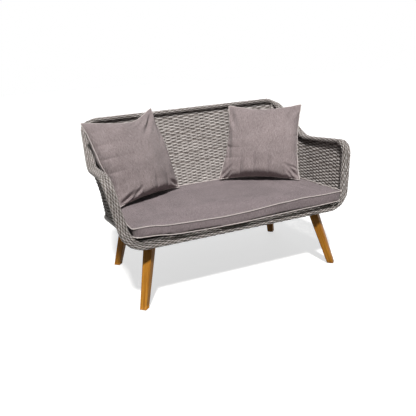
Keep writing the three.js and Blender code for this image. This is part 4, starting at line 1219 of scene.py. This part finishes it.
def makeSeatCushion():
    topSeam, bottomSeam = cushionLoop(0), cushionLoop(1)
    cover = rolledMesh("seatCushion", seatCushion["down"], seatCushion["around"], seatShape(topSeam, bottomSeam))
    piece = addPiece("seat_cushion_cover", cover, "seatFabric", "cushion_fabric", "seat_cushion")
    mesh = reshaped(piece, "REMESH", mode="VOXEL", voxel_size=seatCushion["voxel"] * mm)
    seams = np.concatenate([topSeam, bottomSeam])
    gap, nearest = nearestOn(places(mesh), seams)
    swell(piece, seatCushion["air"], grip(gap, *seatCushion["held"]))
    smoothed(mesh, 3)
    co = mix(places(mesh), seams[nearest], grip(gap, *seatCushion["pull"])[:, None])
    # At the front corners the band goes all the way out, too
    corner = spot(0, seatCushion["front"], seatCushion["cornerAt"])
    fromCorner = np.abs(co - corner) - (seatCushion["half"] * mm, 0, 0)
    near = np.flatnonzero(np.abs(fromCorner).max(1) < seatCushion["cornerSize"] * mm)
    levels = np.concatenate([mix(topSeam, bottomSeam, t) for t in np.linspace(0, 1, 6)])
    gap, nearest = nearestOn(co[near], levels)
    share = seatCushion["cornerShare"] * grip(gap, *seatCushion["cornerPull"])
    co[near] = mix(co[near], levels[nearest], share[:, None])
    setPlaces(mesh, co)
    mesh = reshaped(piece, "SUBSURF", levels=1, render_levels=1)
    co = places(mesh)
    co[:, 2] = np.maximum(co[:, 2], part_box("seat_deck")[1].z + seatCushion["aboveDeck"] * mm)
    pucker(co)
    setPlaces(mesh, co)
    setPattern(mesh, "cloth", co)
    mesh.shade_smooth()
    for seam, name in ((topSeam, "top"), (bottomSeam, "bottom")):
        cord = pipingMesh("seatPiping", seam[:-1], up, seatCushion["piping"] * mm)
        addPiece(f"seat_piping_cord_{name}", cord, "pipingFabric", "piping", f"seat_piping_{name}")


scatter = {
    "side": 430, "thickness": 118, "hollow": 17, "ear": 9, "earWidth": 0.03, "piping": 3, "cord": 2.4, "cut": 462,
    "panels": 66, "seamAt": 0.9999, "flat": 14, "sag": 16, "crown": (0.64, 1.50), "back": 0.9,
    "belly": 0.22, "under": 0.32, "wave": 3.2,
    "air": {
        "frames": 17, "cap": 300,
        "cloth": {
            "quality": 6, "tension_stiffness": 30, "compression_stiffness": 6, "shear_stiffness": 4,
            "bending_stiffness": 0.06, "uniform_pressure_force": 2,
        },
    },
}
# Places are shares of half the cushion's width and height. Corners and pulls give a move in mm, and pulls
# a reach before it. A crease goes from one place to another and has a width and a depth in mm. A pocket
# has its seam, where it starts and ends on it, how many there are, their reach inwards and their depth.
scatterPlans = {
    "right": {
        "side": 1, "turn": 36, "lean": 26, "roll": 2,
        "corners": {(-1, 1): (14, -24), (1, 1): (-26, -17), (1, -1): (-14, 6), (-1, -1): (-12, -3)},
        "pulls": [((0.0, 1.0), 0.6, (0, -6)), ((0.0, -1.0), 0.7, (0, 5)), ((-1.0, 0.0), 0.6, (5, 0))],
        "creases": [
            ((-0.97, 0.95), (-0.66, 0.25), 15, 8), ((-0.86, 0.30), (-0.76, -0.70), 12, 8),
            ((-1.00, -0.06), (-0.78, -0.16), 6, 8), ((-1.00, -0.30), (-0.82, -0.34), 6, 6),
            ((0.99, -0.98), (0.62, -0.56), 8, 11), ((0.84, -1.00), (0.66, -0.70), 6, 9),
            ((0.99, -0.76), (0.72, -0.62), 6, 9), ((-0.99, -0.98), (-0.66, -0.62), 8, 11),
            ((-0.82, -1.00), (-0.66, -0.78), 6, 9), ((0.96, 0.95), (0.60, 0.52), 14, 6),
            ((1.00, 0.20), (0.84, 0.10), 7, 5),
        ],
        "pockets": [("low", -0.80, 0.80, 4.6, 0.20, 17), ("left", -0.70, 0.10, 3.0, 0.14, 9)],
        "waves": (0.3, 2.1),
    },
    "left": {
        "side": -1, "turn": 26, "lean": 22.5, "roll": 2.5,
        "corners": {(-1, 1): (-24, 8), (1, 1): (-5, 4), (1, -1): (-30, -6), (-1, -1): (3, 14)},
        "pulls": [
            ((0.35, 0.95), 0.5, (4, -32)), ((-0.3, 1.0), 0.5, (0, -10)), ((1.0, 0.1), 0.7, (9, 0)),
            ((-1.0, 0.1), 0.5, (-16, 0)),
        ],
        "creases": [
            ((0.96, 0.96), (0.15, 0.42), 12, 9), ((0.86, 0.99), (0.10, 0.70), 9, 7),
            ((0.62, 0.99), (-0.10, 0.72), 7, 6), ((0.99, 0.80), (0.66, 0.10), 14, 6),
            ((-0.98, -0.97), (-0.45, -0.72), 10, 11), ((-0.74, -1.00), (-0.34, -0.66), 8, 9),
            ((0.97, -0.95), (0.55, -0.74), 9, 9),
        ],
        "pockets": [("low", -0.75, 0.65, 3.4, 0.19, 12), ("left", -0.55, 0.80, 4.2, 0.12, 9)],
        "waves": (1.7, 0.2),
    },
}


def scatterLoop(count=480):
    half, ear = scatter["side"] / 2, scatter["ear"]
    share = np.linspace(0, 1, count // 4, endpoint=False)
    hollow = scatter["hollow"] * np.sin(math.pi * share) ** 0.8
    earHere = ear * np.exp(-(np.minimum(share, 1 - share) / scatter["earWidth"]) ** 2)
    a, b = mix(-half - ear, half + ear, share), -(half - hollow + earHere)
    loop = []
    for k in range(4):
        c, s = math.cos(k * math.pi / 2), math.sin(k * math.pi / 2)
        loop.append(np.stack([a * c - b * s, 0 * a, a * s + b * c], 1))
    loop = np.concatenate(loop)
    for _ in range(2):
        loop = (np.roll(loop, 1, 0) + 2 * loop + np.roll(loop, -1, 0)) / 4
    return loop * mm


def scatterFrame(plan):
    # Turns the cushion's own directions into the sofa's
    about = lambda axis, degrees: Matrix.Rotation(math.radians(degrees), 3, axis)
    turned = about("Z", -plan["side"] * plan["turn"]) @ about("X", -plan["lean"])
    return np.array(turned @ about("Y", plan["side"] * plan["roll"]))


def coverMesh(name):
    # Two square sheets sewn together round their edges
    bm = bmesh.new()
    count = scatter["panels"]
    for side in (-1, 1):
        placed = Matrix.Translation((0, side * 0.1, 0)) @ Matrix.Rotation(math.radians(90), 4, "X")
        bmesh.ops.create_grid(bm, x_segments=count, y_segments=count, size=1, matrix=placed)
    for v in bm.verts:
        if max(abs(v.co.x), abs(v.co.z)) > scatter["seamAt"]:
            v.co.y = 0
    bmesh.ops.remove_doubles(bm, verts=bm.verts, dist=1e-4)
    bmesh.ops.recalc_face_normals(bm, faces=bm.faces)
    return meshFrom(bm, name)


def seamOrder(square):
    # The vertices of the seam, one after the other round the square
    edge = np.flatnonzero(np.abs(square[:, [0, 2]]).max(1) > scatter["seamAt"])
    return edge[np.argsort(np.arctan2(square[edge, 2], square[edge, 0]))]


def wrinkles(plan, u, w, corner):
    # How far creases, pockets along a seam and slow waves push the front face in
    push = np.zeros(len(u))
    for start, end, width, depth in plan["creases"]:
        run = np.array(end) - start
        gap = np.stack([u, w], 1) - start
        share = np.clip(gap @ run / np.sum(run**2), 0, 1)
        away = np.linalg.norm(gap - share[:, None] * run, axis=1) * corner
        fold = np.exp(-((away / width) ** 2)) - 0.45 * np.exp(-(((away - 2 * width) / width) ** 2))
        push += depth * fold * np.sin(math.pi * (0.12 + 0.88 * share))
    for seam, start, end, count, reach, depth in plan["pockets"]:
        along, inwards = (u, 1 + w) if seam == "low" else (w, 1 + u)
        share = (along - start) / (end - start)
        shown = np.sin(math.pi * np.clip(share, 0, 1)) ** 0.4 * inwards / reach * np.exp(1 - inwards / reach)
        push -= depth * (np.abs(np.sin(math.pi * count * share)) ** 0.6 - 0.6) * shown
    a, b = plan["waves"]
    slow = np.sin(6.3 * u + 2.6 * w + a) * np.sin(4.9 * w - 2.2 * u + b)
    slow += 0.5 * np.sin(11 * w + 5 * u + b) * np.sin(8 * u - 4 * w + a)
    return push + scatter["wave"] * slow * np.clip(2.5 * (1 - np.maximum(np.abs(u), np.abs(w))), 0, 1)


def fullness(v, power):
    # Full in the middle and nothing at the seams
    return np.maximum(0, 1 - np.abs(v) ** 2.4) ** power


def inflated(piece, u, face, w, corner):
    # The cover in mm, lying flat round its middle
    half = scatter["cut"] / 2
    flat = face * scatter["flat"] * fullness(u, 0.5) * fullness(w, 0.5)
    setPlaces(piece.data, np.stack([u * half, flat, w * half], 1) * mm)
    swell(piece, scatter["air"])
    co = places(piece.data) / mm
    co -= (co.max(0) + co.min(0)) / 2
    return co * np.array([corner, scatter["thickness"] / 2, corner]) / co.max(0)


def makeScatterCushion(name, plan):
    axes, loop = scatterFrame(plan), scatterLoop()
    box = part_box(f"scatter_piping_{name}")
    own = loop @ axes.T
    low, high = own.min(0), own.max(0)
    middle = (np.array(box[0]) + np.array(box[1])) / 2 - (low + high) / 2
    middle[2] = box[0].z + scatter["piping"] * mm - low[2]
    cover = coverMesh("scatter")
    coverName, node = f"scatter_cushion_cover_{name}", f"scatter_cushion_{name}"
    piece = addPiece(coverName, cover, "scatterFabric", "cushion_fabric", node)
    square = places(cover)
    seam = seamOrder(square)
    u, face, w = square.T
    face = np.sign(face)
    corner = scatter["side"] / 2 + scatter["ear"]
    co = inflated(piece, u, face, w, corner)
    # The filling sinks: fullest below the middle, thin towards the seams
    belly, isUnder = scatter["belly"], w < -scatter["belly"]
    below = (w + belly) / np.where(isUnder, 1 - belly, 1 + belly)
    dome = np.maximum(0, 1 - u**2) * np.maximum(0, 1 - below**2) ** np.where(isUnder, scatter["under"], 1)
    co[:, 1] *= np.where(face < 0, mix(*scatter["crown"], dome), scatter["back"])
    across, upwards = co[:, 0] / corner, co[:, 2] / corner
    co[:, 2] -= scatter["sag"] * fullness(across, 1.0) * fullness(upwards, 1.0)
    for (a, b), move in plan["corners"].items():
        part = (1 + a * across) * (1 + b * upwards) / 4
        co[:, [0, 2]] += part[:, None] * np.array(move)
    for (a, b), reach, move in plan["pulls"]:
        part = np.exp(-(((across - a) / reach) ** 2 + ((upwards - b) / reach) ** 2))
        co[:, [0, 2]] += part[:, None] * np.array(move)
    seamLine = co[seam] @ axes.T * mm + middle
    setPlaces(cover, co * mm)
    setPattern(cover, "cover", square)
    mesh = reshaped(piece, "SUBSURF", levels=1, render_levels=1)
    co, (u, face, w) = places(mesh) / mm, pattern(mesh, "cover").T
    co[:, 1] += wrinkles(plan, u, w, corner) * np.clip(-co[:, 1] / 10, 0, 1)
    setPattern(mesh, "cloth", co * mm)
    setPlaces(mesh, co @ axes.T * mm + middle)
    mesh.shade_smooth()
    cord = pipingMesh("scatterPiping", seamLine, axes[:, 1], scatter["cord"] * mm)
    addPiece(f"scatter_piping_cord_{name}", cord, "pipingFabric", "piping", f"scatter_piping_{name}")


makeSeatCushion()
print("the seat cushion is made")
for cushionName, cushionPlan in scatterPlans.items():
    makeScatterCushion(cushionName, cushionPlan)
print("the scatter cushions are made")


# ---- finishes of the pieces that come from the CAD model

nodeFinish = {"leg_bolt": "zinc", "leg_nut": "zinc", "leg_glide": "glidePlastic"}


def finishNodes():
    for name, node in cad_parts.items():
        if node.hide_render:
            continue
        finish = next(value for key, value in nodeFinish.items() if key in name)
        node.data.materials.clear()
        node.data.materials.append(materials[finish])
        tuned(node.modifiers.new("weld", "WELD"), merge_threshold=1e-5)
        tuned(node.modifiers.new("softEdge", "BEVEL"), width=0.0005, segments=2, limit_method="ANGLE")


finishNodes()
print("all pieces are dressed")
